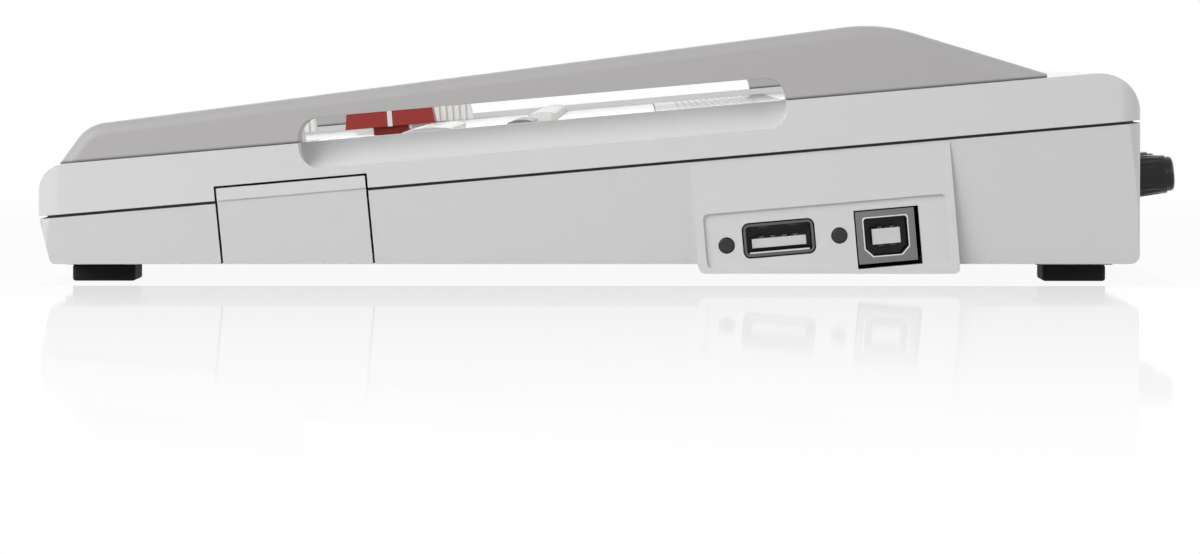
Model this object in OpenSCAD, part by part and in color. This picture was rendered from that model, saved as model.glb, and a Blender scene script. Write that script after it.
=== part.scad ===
// Desktop multitrack recorder: sloped two-part case between two side rails, with
// channel faders, keys, a jog dial and a display on top, sockets and knobs behind,
// a memory card door and two data ports on the right wall, and a battery bay below.
// X runs along the width, Y from front to back, Z up; the desk is z = 0.

/* [Case] */
// Width across the upper case
case_w = 376; // [352:1:455]
// Depth of the case, front wall to rear wall
case_d = 228.6; // [222:0.1:276]
// Slope of the whole top, in degrees
slope = 5; // [4.5:0.1:5.5]
// Height of the rail seat above the desk, half way along the part
seat_z = 35.1; // [34.8:0.1:40]
// Wall thickness of both case halves
wall = 2.4; // [2:0.1:2.8]
// Height of the upper case, square to the slope
upper_h = 10.4; // [10:0.1:12]
// Groove between the two case halves
groove = 0.6; // [0.4:0.1:1]
// Radius of the case corners seen from above
corner_r = 5; // [3:0.5:8]
// Radius of the upper case's front edge
front_edge_r = 6.5; // [2:0.5:8]
// Radius of the upper case's rear edge
rear_edge_r = 8.8; // [6:0.2:10]
// Draft of the lower case's side walls, in degrees
side_draft = 7; // [3:0.5:8]
// How far the lower case's front wall leans in at the bottom
front_lean = 2.4; // [0:0.2:4]
// Height of the case's underside above the desk
floor_gap = 4.4; // [4:0.1:6]

/* [Side rails] */
// Width of a rail
rail_w = 12.5; // [10:0.5:13]
// Step between the case's side and the rail's face
rail_step = 1; // [0.5:0.1:1.5]
// Height of the rail's crest above its seat
crest_h = 14.4; // [12:0.1:18]
// Place of the crest behind the middle of the part
crest_y = 55.9; // [40:0.1:70]
// Rise of the rail's long top edge, in degrees
rail_rise = 7.35; // [6:0.05:9]
// Fall of the rail's rear edge, in degrees
rail_fall = 16.9; // [12:0.1:24]
// Angle of the rail's front end, in degrees
rail_nose = 54; // [40:1:70]
// Radius of the crest
crest_r = 34; // [20:1:60]
// Radius of the rail's front shoulder
nose_r = 8; // [3:0.5:12]
// Rounding of the rail's upper edges
rail_edge_r = 2.6; // [1:0.1:4]
// Distance from the front wall to the rail's front end
rail_front = 4.5; // [3:0.1:8]
// Height of the rail's blunt rear end
rail_end = 0.8; // [0.5:0.1:1.5]
// Length of the finger slot
slot_l = 101.4; // [60:0.1:110]
// Height of the finger slot, rail and case together
slot_h = 10.6; // [10:0.1:12]
// Part of the slot's height that lies in the rail
slot_rise = 5; // [4.8:0.1:6]
// Place of the slot's middle, along the slope
slot_v = -13.8; // [-30:0.1:0]
// Corner radius of the slot
slot_r = 4.4; // [2:0.1:5]
// Radius of the hollow scooped out of the case below the slot
scoop_r = 14; // [13:0.5:16]

/* [Top panel] */
// Thickness of the panel
panel_t = 2; // [1.6:0.1:2.5]
// Depth of the panel's face below the rail seat
panel_drop = 1.6; // [1:0.1:2]
// Width of the case rim in front of the panel
rim_front = 11; // [8:0.5:16]
// Width of the case rim behind the panel
rim_rear = 25; // [20:0.5:30]
// Running clearance round keys, caps and lids
clearance = 0.35; // [0.3:0.05:0.5]
// Distance from the panel's underside to the panel board
board_drop = 7.5; // [7:0.1:9]
// Thickness of the circuit boards
board_t = 1.6; // [1:0.1:2]

/* [Faders] */
// Number of channel strips
channels = 8; // [2:1:8]
// Pitch of the channel strips
strip_pitch = 24; // [22:0.5:25]
// Place of the master fader from the middle of the panel
master_x = 44; // [40:1:48]
// Place of the middle of the fader travel, along the slope
fader_v = -63.5; // [-68:0.5:-60]
// Travel of the faders
fader_travel = 45; // [30:1:46]
// Length of a fader cap
cap_l = 21.1; // [16:0.1:22]
// Width of a fader cap
cap_w = 10.5; // [8:0.1:12]
// Height of a fader cap
cap_h = 8; // [6:0.1:9]
// Gap under the wings of a fader cap
cap_gap = 2.1; // [0.6:0.1:2.5]
// Number of ribs on each half of a channel cap
cap_ribs = 6; // [3:1:7]
// Places of the channel caps along the travel, from its middle
cap_rest = [7.5, 9.5, 5.5, 11.5, 8.5, 13.5, -19.5, 19.5];
// Place of the master cap along its travel, from its middle
master_rest = 11.5; // [-20:0.5:20]

/* [Keys and dial] */
// Travel of every key
key_travel = 0.9; // [0.6:0.1:1]
// Height of the keys above the panel
key_h = 2.2; // [1.6:0.1:3]
// Width and depth of a track key
track_key_size = [15, 6.5];
// Width and depth of a transport key
transport_key_size = [16.6, 10.5];
// Width and depth of a menu key
menu_key_size = [14, 5.5];
// Diameter of the jog dial
dial_d = 36; // [28:0.5:38]
// Height of the jog dial above the panel
dial_h = 8.5; // [6:0.5:10]
// Diameter of the cursor pad
pad_d = 27; // [22:0.5:30]
// Number of ribs round the jog dial
dial_ribs = 36; // [16:1:48]

/* [Display] */
// Width and depth of the display window
window_size = [94, 46];
// Height of the display window above the panel
window_h = 0.6; // [0.4:0.1:1.2]
// Width and depth of the level meter window
meter_size = [206, 30];

/* [Port panel and card door] */
// Place of the port panel's middle, along the slope
port_v = 42.7; // [40:0.1:50]
// Width of the port panel at the parting line
port_w = 53.8; // [50:0.1:60]
// How far the port panel hangs below the case
port_drop = 1.9; // [1:0.1:2.5]
// Depth of the recess round the ports
recess_d = 0.7; // [0.4:0.1:1]
// Width and height of the host socket
host_size = [14.5, 6.8];
// Width and height of the device socket
device_size = [12.2, 10.9];
// Diameter of the indicator dots
led_d = 3.1; // [2:0.1:4]
// Place of the card door's middle, along the slope
door_v = -66.85; // [-75:0.05:-60]
// Width of the card door
door_w = 31.8; // [28:0.1:36]
// Height of the card door above the parting line
door_rise = 3; // [2:0.1:4]
// Thickness of the card door
door_t = 2; // [1.6:0.1:2.4]

/* [Rear wall] */
// Pitch of the inputs along the rear wall
input_pitch = 37; // [36:0.5:38]
// Place of the first gain knob from the middle
gain_x = 170; // [165:0.5:172]
// Height of the gain knobs above the desk
gain_z = 22.2; // [20:0.1:24]
// Diameter of a rear knob at its base
knob_d = 8.8; // [7:0.1:9.4]
// How far the rear knobs stand out behind the case
knob_out = 8.4; // [6:0.1:12]
// Diameter of the round front of an input jack
jack_d = 20; // [19:0.1:21]
// Diameter of the plug hole in every jack
plug_d = 6.6; // [6.4:0.1:7]

/* [Feet and battery bay] */
// Width and depth of a foot
foot_size = [16, 13.3];
// Thickness of the rubber of a foot
foot_t = 3.5; // [2.5:0.1:3.8]
// Distance between the feet, across and front to back
foot_span = [314, 204.9];
// Place of the front feet behind the front wall
foot_front = 11.6; // [8:0.1:20]
// Width, depth and height of the battery bay
bay_size = [106, 47, 15];
// Place of the bay's middle
bay_at = [-96.5, 38];

/* [Hidden] */
$fn = 48;
// Facets of a full turn on the blended rails
blend_fn = 120;
// Overlap of one cut past a face
over = 1;

// Outer planes of the case
front_y = -(case_d + knob_out) / 2;
rear_y = front_y + case_d;
mid_y = (front_y + rear_y) / 2;
side_x = case_w / 2;
part_w = -upper_h;
lower_w = part_w - groove;
lower_step = 0.4;
lower_side_x = side_x - lower_step;
front_step = 0.4;
lip_t = 0.9;
front_low_r = 1.2;
rear_low_r = 2;
deep = 80;

// Levels square to the slope, below the rail seat
panel_top = -panel_drop;
panel_under = panel_top - panel_t;
ledge_t = 2;
ledge_w = 3;
skin_under = panel_under - ledge_t;
board_top = panel_under - board_drop;
board_under = board_top - board_t;
main_under = -23.4;

// Panel outline, along the slope
fit = 0.15;
rail_gap = 1.5;
panel_w = case_w - 2 * (rail_w + rail_step + rail_gap);
panel_front = (front_y + rim_front) / cos(slope);
panel_rear = (rear_y - rim_rear) / cos(slope);
panel_v = (panel_front + panel_rear) / 2;
panel_l = panel_rear - panel_front;
panel_r = 3;

// Channel strips and the controls beside them
strips = [for (i = [1 : channels]) i];
function strip_x(i) = master_x - (channels + 1 - i) * strip_pitch;
track_v = -17;
transport_v = -39;
menu_v = -19.2;
right_x = 113;
key_pitch = 19.5;
transport_names = ["rewind_key", "forward_key", "stop_key", "play_key", "record_key"];
function transport_x(i) = right_x + (i - 2) * key_pitch;
menu_keys = [1, 2, 3];
function menu_x(i) = right_x + (i - 1) * key_pitch;
dial_at = [138, -84];
pad_at = [88, -84];
window_v = 55.5;
window_at = [right_x, window_v];
meter_v = 25;
meter_at = [strip_x(1) + (meter_size[0] - strip_pitch) / 2, meter_v];
stem_l = 8.2;
stem_t = 1.4;
slot_fit = 0.4;
slot_end = 0.9;
fader_slot = [stem_t + 2 * slot_fit, fader_travel + stem_l + 2 * slot_end];
cap_end_lean = 0.8;
cap_side_lean = 1.2;
cap_band = 2.4;
rib_d = 0.45;
rib_share = 0.55;
dish_d = 1.6;
dish_half = 4;
dish_r = (dish_half * dish_half + dish_d * dish_d) / (2 * dish_d);
neck_w = 6;
stem_reach = 2.7;
pot_w = 9;
pot_end = 4;
flange_t = 1;
flange_w = 1;
switch_gap = 0.4;
switch_w = 6;
switch_top = panel_under - clearance - flange_t - key_travel - switch_gap;
shaft_d = 6;
shaft_fit = 0.3;
shaft_end = 0.4;
dial_bore = 5.5;
encoder_w = 12;
dial_chamfer = 0.8;
dial_draft = 0.4;
dial_round = 2;
dial_rim = 2;
dial_dip = 1;
dial_rib_d = 0.6;
dimple_r = 6;
dimple_d = 1.6;
pad_low = 0.4;
pad_edge = 0.7;
pad_rim = 6;
pad_dip = 0.8;
pad_button_r = 4.2;
pad_arrow_r = 1.8;
pad_arrow_in = 4.5;
key_r = 1.4;
key_crown = 0.6;

// Windows and the spacers under the panel
window_rim = [8, 6];
window_r = 4;
window_edge = 0.2;
window_bevel = 0.5;
window_sink = 0.3;
glass_r = 1.5;
module_rim = [5, 3];
module_glass_rim = [11, 8];
module_r = 1;
meter_rim = [4, 4];
meter_r = 2;
meter_sink = 0.8;
meter_rise = 0.2;
spacer_r = 2;
spacers = [for (x = [-163, 58, 165]) [x, 0], [-163, -100], [58, -100], [-163, 78], [58, 76], [165, 76]];

// Main board, on posts in the lower case
main_low = [-38, -24];
main_l = 98;
main_edge = 16;
main_tab = [9, 46];
main_posts = [[-20, -15], [-20, 70], [160, -20], [150, 70]];

// Ports, as places along the slope and below the rail seat
port_row = -28.6;
host_at = [port_v - 9.9, port_row + 0.34];
device_at = [port_v + 12.3, port_row - 1.1];
led_at = [[port_v - 20.8, port_row - 0.2], [port_v + 2.6, port_row - 0.15]];
port_face = side_x - 0.2;
port_z = floor_gap - port_drop;
port_fit = 0.3;
port_reach = 21;
port_r = 1.2;
host_r = 1.2;
host_l = 14;
host_base = 3;
host_sink = 0.2;
host_tongue = [11.2, 1.9];
host_tongue_drop = 0.7;
shell_t = 0.5;
tongue_sink = 1;
device_l = 16;
device_base = 5;
device_sink = 0.4;
device_room = 0.6;
device_mouth_size = [9, 7.9];
device_mouth_r = 0.8;
device_cut = 1.6;
device_tongue = [5.8, 3.2];
led_l = 6;
led_rise = 0.3;
recess_top = port_row + 6.6;
recess_low = port_z + 1.2;
recess_edge = 1.7;
recess_r = 1.2;

// Card door hinge
hinge_r = 1.6;
hinge_pin_r = 1;
hinge_pin_l = 1.6;
pin_fit = 0.3;
door_gap = 0.45;
door_room = 1.3;
door_hinge_z = floor_gap + 1.9;
door_hinge_x = lower_side_x - 3.4;
door_hinge_w = (door_hinge_z - seat_z - door_v * sin(slope)) / cos(slope);
door_hinge_y = yz(door_v, door_hinge_w)[0];
door_block = [4, 3.2, 4.8];
door_block_at = [door_hinge_x - 1, door_w / 2 + 1.8, floor_gap + 2.8];
socket_l = 29;
socket_t = 3.4;
socket_in = 12;
socket_back = 4;
card_w = 24.6;
card_slot = 2.6;

// Rear wall places
inside_y = rear_y - wall;
input_z = 19.5;
input_body = [23, 24, 23];
jack_back = 3;
pin_r = 1.6;
pin_l = 7;
pin_circle = 6.4;
function gain_at(i) = gain_x - (i - 1) * input_pitch;
function input_at(i) = gain_at(i) - input_pitch / 2;
line_at = [[-131, 20], [-147, 20], [-163, 14.5]];
line_body = [12, 23, 12];
line_thread_r = 4.6;
line_thread_out = 0.4;
line_back = 2;
line_nut_d = 12;
line_nut_t = 1.8;
phones_at = [-163, 27.6];
inlet_at = [-176.5, 13];
inlet_d = 8;
inlet_body = [9.5, 12, 10];
inlet_l = 9.5;
inlet_bore_r = 2.8;
inlet_pin_r = 1;
inlet_pin_sink = 1.5;
power_at = [-175.5, 26];
power_travel = 3;
power_slot = [9, 4.4];
slider_nub = [5, 3.6];
slider_flange = [10, 7, 1.2];
slider_out = 1.6;
wall_fit = 0.4;
knob_gap = 0.8;
knob_dome = 1.6;
knob_draft = 0.4;
knob_rib_d = 0.35;
knob_round = 0.75;
knob_tip_r = knob_d / 2 - knob_draft - knob_rib_d - knob_round;
knob_ribs = 18;
knob_bore = 5.4;
pot_gap = 0.9;
knob_l = (knob_out - knob_gap - knob_tip_r * sin(slope)) / cos(slope);

// Screws and bosses
boss_x = side_x - 9;
boss_y = [-105, -10, 80];
boss_r = 5;
screw_r = 1.45;
screw_head = [3, 2];
screw_fit = 0.3;
screw_l = 14;
head_sink = 0.5;
post_r = 4;

// Battery bay
bay_wall = 1.6;
lid_t = 2;
lid_gap = 0.4;
lid_barrel_r = 1.2;
bay_low = floor_gap + lid_t + lid_gap;
bay_hinge_y = bay_at[1] - bay_size[1] / 2 - lid_gap;
bay_hinge_z = floor_gap + lid_barrel_r;
lid_pin_r = 0.7;
lid_pin_l = 2;
lid_room = 1.5;
lid_block = 4;
contact_t = 0.5;
contact_h = 12;
contact_in = 1.5;
contact_rows = 3;
spring_r = [4, 2.5];
spring_l = 2;

// Feet
foot_r = 1;
foot_pad = 1.5;

// Height of a level w below the rail seat at the place y
function z_at(y, w) = seat_z + y * tan(slope) + w / cos(slope);
// Place on the part of a point given along the slope
function yz(v, w) = [v * cos(slope) - w * sin(slope), seat_z + v * sin(slope) + w * cos(slope)];

function unit(v) = v / norm(v);
function flat(p) = [p[0], p[1]];
function corner_dir(points, i, step) =
    unit(flat(points[(i + step + len(points)) % len(points)]) - flat(points[i]));
function corner_half(points, i) = acos(corner_dir(points, i, -1) * corner_dir(points, i, 1)) / 2;
function corner_tangent(points, i, step) =
    flat(points[i]) + corner_dir(points, i, step) * points[i][2] / tan(corner_half(points, i));
function corner_middle(points, i) = unit(corner_dir(points, i, -1) + corner_dir(points, i, 1));
function corner_centre(points, i) =
    flat(points[i]) + corner_middle(points, i) * points[i][2] / sin(corner_half(points, i));

// Convex outline whose corners, given as [across, up, radius], are true arcs
module rounded_outline(points) {
    polygon([for (i = [0 : len(points) - 1])
        for (step = points[i][2] > 0 ? [-1, 1] : [1]) corner_tangent(points, i, step)]);
    for (i = [0 : len(points) - 1])
        if (points[i][2] > 0)
            translate(corner_centre(points, i)) circle(points[i][2]);
}

module rounded_rect(size, r) {
    x = size[0] / 2;
    y = size[1] / 2;
    rounded_outline([[-x, -y, r], [x, -y, r], [x, y, r], [-x, y, r]]);
}

// Draws what follows in the frame of the sloped top
module on_slope() {
    translate([0, 0, seat_z]) rotate([slope, 0, 0]) children();
}

// Extrudes a side-view outline across the part, from one x to another
module across(x0, x1) {
    translate([x0, 0, 0]) rotate([90, 0, 90]) linear_extrude(x1 - x0) children();
}

// Extrudes a front-view outline towards the rear, from one y to another
module rearwards(y0, y1) {
    translate([0, y1, 0]) rotate([90, 0, 0]) linear_extrude(y1 - y0) children();
}

module plan(inset) {
    translate([0, mid_y, 0])
        linear_extrude(deep) rounded_rect([case_w - 2 * inset, case_d - 2 * inset], corner_r - inset);
}

module upper_solid(inset, top, low) {
    y0 = front_y + inset;
    y1 = rear_y - inset;
    foot = low - 2 * rear_edge_r;
    intersection() {
        across(-side_x + inset, side_x - inset)
            rounded_outline([
                [y0, z_at(y0, foot), 0],
                [y1, z_at(y1, foot), 0],
                [y1, z_at(y1, top), rear_edge_r - inset],
                [y0, z_at(y0, top), front_edge_r - inset]
            ]);
        on_slope() box([-case_w, -case_d, low], [case_w, case_d, deep]);
        plan(inset);
    }
}

module lower_solid(inset, top) {
    y0 = front_y + front_step + inset;
    y1 = rear_y - inset;
    z0 = floor_gap + inset;
    half = lower_side_x - inset;
    intersection() {
        across(-side_x, side_x)
            rounded_outline([
                [y0 + front_lean, z0, max(front_low_r - inset, 0)],
                [y1, z0, max(rear_low_r - inset, 0)],
                [y1, z_at(y1, top), 0],
                [y0, z_at(y0, top), 0]
            ]);
        on_slope()
            rearwards(-case_d, case_d)
                polygon([
                    [half, top + over],
                    [-half, top + over],
                    [-half, lower_w],
                    [-half + deep * tan(side_draft), lower_w - deep],
                    [half - deep * tan(side_draft), lower_w - deep],
                    [half, lower_w]
                ]);
        plan(inset);
    }
}

// Finger slot seen from the side, along the slope
module slot_outline(grow = 0) {
    translate([slot_v, slot_rise - slot_h / 2])
        rounded_rect([slot_l + 2 * grow, slot_h + 2 * grow], slot_r + grow);
}

module slot_scoop(grow) {
    on_slope()
        intersection() {
            across(side_x - scoop_r - grow, side_x + over) slot_outline(grow);
            translate([side_x + over, slot_v, scoop_r - slot_h + slot_rise])
                rotate([90, 0, 0]) cylinder(h = slot_l + 2 * grow, r = scoop_r + grow, center = true);
        }
}

module both_sides() {
    children();
    mirror([1, 0, 0]) children();
}

module at_bosses() {
    for (x = [-boss_x, boss_x], y = boss_y)
        translate([x, y, 0]) children();
}

// Round holes and pieces along the slope, through the rear wall at [x, z]
module through_rear(at, v0, v1, r) {
    w = (at[1] - z_at(rear_y, 0)) * cos(slope);
    v = (rear_y + w * sin(slope)) / cos(slope);
    on_slope()
        translate([at[0], v + v0, w])
            rotate([-90, 0, 0]) cylinder(h = v1 - v0, r = r);
}

// Round holes and pieces square to the rear wall at [x, z], measured from its face
module square_rear(at, y0, y1, r) {
    translate([at[0], rear_y + y0, at[1]])
        rotate([-90, 0, 0]) cylinder(h = y1 - y0, r = r);
}

module box(low, high) {
    translate(low) cube(high - low);
}

// Opening of the card door in the right wall, made smaller by a gap
module card_opening(gap) {
    on_slope()
        box([door_hinge_x - hinge_r - door_room, door_v - door_w / 2 + gap, -deep],
            [side_x + over, door_v + door_w / 2 - gap, part_w + door_rise - gap]);
}

module door_pin(length, r) {
    translate([door_hinge_x, door_hinge_y, door_hinge_z])
        rotate([90, 0, 0]) cylinder(h = length, r = r, center = true);
}

module upper_case() {
    color("gainsboro")
        difference() {
            union() {
                difference() {
                    upper_solid(0, 0, part_w);
                    upper_solid(wall, skin_under, part_w - upper_h);
                }
                intersection() {
                    upper_solid(0, 0, part_w);
                    both_sides() slot_scoop(wall);
                }
                intersection() {
                    on_slope() box([-side_x, -case_d, part_w], [side_x, case_d, skin_under + over]);
                    at_bosses() cylinder(r = post_r, h = deep);
                }
            }
            on_slope()
                translate([0, panel_v, panel_under])
                    linear_extrude(deep)
                        rounded_rect([panel_w + 2 * fit, panel_l + 2 * fit], panel_r + fit);
            on_slope()
                translate([0, panel_v, skin_under - over])
                    linear_extrude(deep)
                        rounded_rect([panel_w - 2 * ledge_w, panel_l - 2 * ledge_w], panel_r);
            both_sides() slot_scoop(0);
            card_opening(0);
            for (x = [-boss_x, boss_x], y = boss_y)
                translate([x, y, 0]) cylinder(r = screw_r + screw_fit, h = z_at(y, skin_under));
        }
}

// Raised panel round the two data ports
module port_block() {
    near = yz(port_v - port_w / 2, lower_w - port_fit);
    far = yz(port_v + port_w / 2, lower_w - port_fit);
    across(side_x - port_reach, port_face)
        rounded_outline([
            [near[0] + (near[1] - port_z) * tan(slope), port_z, port_r],
            [far[0] + (far[1] - port_z) * tan(slope), port_z, port_r],
            [far[0], far[1], 0],
            [near[0], near[1], 0]
        ]);
}

module port_recess() {
    near = yz(port_v - port_w / 2 + recess_edge, recess_top);
    far = yz(port_v + port_w / 2 - recess_edge, recess_top);
    across(port_face - recess_d, port_face + over)
        rounded_outline([
            [near[0] + (near[1] - recess_low) * tan(slope), recess_low, recess_r],
            [far[0] + (far[1] - recess_low) * tan(slope), recess_low, recess_r],
            [far[0], far[1], recess_r],
            [near[0], near[1], recess_r]
        ]);
}

module port_holes() {
    on_slope()
        across(side_x - port_reach + wall, side_x + over) {
            translate(host_at) rounded_rect(host_size + 2 * [port_fit, port_fit], host_r + port_fit);
            translate(device_at + [device_room, -device_room] / 2)
                square(device_size + [device_room, device_room] + 2 * [port_fit, port_fit], center = true);
            for (at = led_at)
                translate(at) circle(led_d / 2 + port_fit / 2);
        }
}

module rear_holes() {
    for (i = strips) {
        square_rear([input_at(i), input_z], -wall - over, over, jack_d / 2 + wall_fit);
        through_rear([gain_at(i), gain_z], -wall - over, over, shaft_d / 2 + wall_fit);
    }
    through_rear(phones_at, -wall - over, over, shaft_d / 2 + wall_fit);
    for (at = line_at)
        square_rear(at, -wall - over, over, line_thread_r + wall_fit / 2);
    square_rear(inlet_at, -wall - over, over, inlet_d / 2 + wall_fit / 2);
    translate([power_at[0], rear_y, power_at[1]])
        cube([power_slot[0], 3 * wall, power_slot[1]], center = true);
}

module battery_hollow() {
    x = bay_size[0] / 2;
    y = bay_size[1] / 2;
    translate([bay_at[0], bay_at[1], 0]) {
        box([-x, -y, floor_gap - over], [x, y, bay_low + bay_size[2]]);
        box([-x, bay_hinge_y - bay_at[1] - lid_room, floor_gap - over], [x, 0, bay_low + clearance]);
    }
}

module lid_pin(length, r) {
    translate([bay_at[0], bay_hinge_y, bay_hinge_z])
        rotate([0, 90, 0]) cylinder(h = length, r = r, center = true);
}

module lower_case() {
    color("lightgray")
        difference() {
            union() {
                difference() {
                    union() {
                        lower_solid(0, lower_w);
                        port_block();
                    }
                    lower_solid(wall, lower_w + over);
                }
                difference() {
                    lower_solid(wall - lip_t, part_w);
                    lower_solid(wall, part_w + over);
                }
                intersection() {
                    lower_solid(0, part_w);
                    at_bosses() cylinder(r = boss_r, h = deep);
                }
                intersection() {
                    on_slope() box([-side_x, -case_d, -deep], [side_x, case_d, main_under]);
                    for (at = main_posts)
                        translate([at[0], at[1], floor_gap + wall / 2]) cylinder(r = post_r, h = deep);
                }
                battery_walls();
                for (end = [-1, 1])
                    translate([door_block_at[0], door_hinge_y + end * door_block_at[1], door_block_at[2]])
                        cube(door_block, center = true);
                at_feet()
                    linear_extrude(floor_gap - foot_t + wall / 2)
                        rounded_rect(foot_size + 2 * [foot_pad, foot_pad], foot_pad);
            }
            battery_hollow();
            lid_pin(bay_size[0] + 2 * (lid_pin_l + wall_fit), lid_pin_r + pin_fit);
            card_opening(0);
            door_pin(door_w + 2 * (hinge_pin_l + wall_fit), hinge_pin_r + pin_fit);
            port_recess();
            port_holes();
            rear_holes();
            at_bosses() {
                cylinder(r = screw_r + screw_fit, h = deep);
                cylinder(r = screw_head[0] + screw_fit, h = floor_gap + head_sink + screw_head[1]);
            }
        }
}

module battery_walls() {
    x = bay_size[0] / 2 + bay_wall;
    y = bay_size[1] / 2 + bay_wall;
    translate([bay_at[0], bay_at[1], 0]) {
        box([-x, -y, floor_gap + wall / 2], [x, y, bay_low + bay_size[2] + bay_wall]);
        for (end = [-1, 1])
            translate([end * (bay_size[0] / 2 + lid_pin_l), bay_hinge_y - bay_at[1], bay_low])
                cube([2 * lid_pin_l, lid_block, wall], center = true);
    }
}

module at_feet() {
    for (x = [-1, 1], y = [0, 1])
        translate([x * foot_span[0] / 2, front_y + foot_front + y * foot_span[1], foot_t]) children();
}

module feet() {
    color("black")
        translate([0, 0, -foot_t])
            at_feet() linear_extrude(foot_t) rounded_rect(foot_size, foot_r);
}

module rail_outline() {
    nose = [front_y + rail_front, z_at(front_y + rail_front, 0)];
    crest = [crest_y, z_at(crest_y, 0) + crest_h];
    tip_y = crest_y + (crest_h - rail_end) / (tan(slope) + tan(rail_fall));
    tip = [tip_y, z_at(tip_y, 0) + rail_end];
    shoulder_y = (crest[1] - crest_y * tan(rail_rise) - nose[1] + nose[0] * tan(rail_nose))
        / (tan(rail_nose) - tan(rail_rise));
    below = 12;
    tip_r = 0.3;
    rounded_outline([
        [nose[0] - below / tan(rail_nose), nose[1] - below, 0],
        [tip[0], tip[1] - below, 0],
        [tip[0], tip[1], tip_r],
        [crest[0], crest[1], crest_r],
        [shoulder_y, crest[1] - (crest_y - shoulder_y) * tan(rail_rise), nose_r]
    ]);
}

module rail_right() {
    x1 = side_x - rail_step;
    x0 = x1 - rail_w;
    color("darkgray")
        difference() {
            hull()
                for (a = [0 : 18 : 90]) {
                    step = rail_edge_r * (1 - sin(a));
                    across(x0 + step, x1 - step)
                        offset(delta = rail_edge_r * (cos(a) - 1)) rail_outline($fn = blend_fn);
                }
            on_slope() box([x0 - over, -case_d, -2 * deep], [x1 + over, case_d, 0]);
            on_slope() across(x0 - over, x1 + over) slot_outline();
        }
}

module rail_left() {
    mirror([1, 0, 0]) rail_right();
}

module key_outline(size, grow) {
    rounded_rect(size + 2 * [grow, grow], key_r + grow);
}

module panel_holes() {
    for (x = concat([for (i = strips) strip_x(i)], [master_x]))
        translate([x, fader_v]) square(fader_slot, center = true);
    for (i = strips)
        translate([strip_x(i), track_v]) key_outline(track_key_size, clearance);
    for (i = [0 : len(transport_names) - 1])
        translate([transport_x(i), transport_v]) key_outline(transport_key_size, clearance);
    for (i = menu_keys)
        translate([menu_x(i), menu_v]) key_outline(menu_key_size, clearance);
    translate(dial_at) circle(shaft_d / 2 + wall_fit);
    translate(pad_at) circle(pad_d / 2 + clearance);
    translate(window_at) rounded_rect(window_size - 2 * window_rim, glass_r);
    translate(meter_at) rounded_rect(meter_size - 2 * meter_rim, meter_r);
}

module top_panel() {
    color("white")
        on_slope()
            difference() {
                union() {
                    translate([0, panel_v, panel_under])
                        linear_extrude(panel_t) rounded_rect([panel_w, panel_l], panel_r);
                    for (at = spacers)
                        translate([at[0], at[1], board_top])
                            cylinder(r = spacer_r, h = board_drop + panel_t / 2);
                }
                translate([0, 0, panel_under - over]) linear_extrude(panel_t + 2 * over) panel_holes();
                translate([meter_at[0], meter_at[1], panel_top - meter_sink])
                    linear_extrude(deep) rounded_rect(meter_size + 2 * [fit, fit], meter_r + fit);
            }
}

module panel_board() {
    edge = 6;
    color("darkgreen")
        on_slope() {
            translate([0, panel_v, board_under])
                linear_extrude(board_t) square([panel_w - 2 * edge, panel_l - 2 * edge], center = true);
            for (at = concat(
                    [for (i = strips) [strip_x(i), track_v]],
                    [for (i = [0 : len(transport_names) - 1]) [transport_x(i), transport_v]],
                    [for (i = menu_keys) [menu_x(i), menu_v]],
                    [pad_at]))
                translate([at[0] - switch_w / 2, at[1] - switch_w / 2, board_under])
                    cube([switch_w, switch_w, switch_top - board_under]);
        }
}

module main_board() {
    color("darkgreen")
        on_slope()
            translate([0, 0, main_under])
                linear_extrude(board_t) {
                    translate(main_low) square([side_x - main_edge - main_low[0], main_l]);
                    translate([side_x - main_edge - over, port_v - main_tab[1] / 2 - over])
                        square(main_tab + [over, 0]);
                }
}

// Slide potentiometer under one fader
module slide_pot(x) {
    length = fader_slot[1] + 2 * pot_end;
    height = board_drop - clearance;
    track_d = 4;
    on_slope()
        translate([x, fader_v, board_top])
            difference() {
                box([-pot_w / 2, -length / 2, 0], [pot_w / 2, length / 2, height]);
                box([-fader_slot[0] / 2, -fader_slot[1] / 2, height - track_d],
                    [fader_slot[0] / 2, fader_slot[1] / 2, height + over]);
            }
}

// Rotary potentiometer behind one rear knob, at [x, z] on the rear wall
module rotary_pot(at) {
    w = (at[1] - z_at(rear_y, 0)) * cos(slope);
    v = (rear_y + w * sin(slope)) / cos(slope);
    body = [10.5, 8, 11];
    body_gap = wall + pot_gap;
    on_slope()
        translate([at[0] - body[0] / 2, v - body_gap - body[1], w - body[2] / 2]) cube(body);
    through_rear(at, -body_gap - over, knob_gap + knob_bore - shaft_end, shaft_d / 2);
}

module potentiometers() {
    color("dimgray") {
        for (i = strips)
            slide_pot(strip_x(i));
        slide_pot(master_x);
        for (i = strips)
            rotary_pot([gain_at(i), gain_z]);
        rotary_pot(phones_at);
        on_slope()
            translate([dial_at[0], dial_at[1], board_top]) {
                translate([-encoder_w / 2, -encoder_w / 2, 0])
                    cube([encoder_w, encoder_w, board_drop - clearance]);
                cylinder(r = shaft_d / 2, h = board_drop + panel_t + clearance + dial_bore - shaft_end);
            }
    }
}

// Outer form of a fader cap, made smaller by an inset on its top and sides
module cap_form(inset) {
    low = panel_top + cap_gap;
    top = panel_top + cap_h - inset;
    half = cap_w / 2 - inset;
    intersection() {
        across(-half, half)
            difference() {
                polygon([
                    [-cap_l / 2, low],
                    [cap_l / 2, low],
                    [cap_l / 2 - cap_end_lean, top],
                    [-cap_l / 2 + cap_end_lean, top]
                ]);
                for (side = [-1, 1])
                    translate([side * cap_l / 4, panel_top + cap_h + dish_r - dish_d])
                        circle(dish_r + inset);
            }
        rearwards(-cap_l, cap_l)
            polygon([
                [-half, low],
                [half, low],
                [half - cap_side_lean, top],
                [-half + cap_side_lean, top]
            ]);
    }
}

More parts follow.
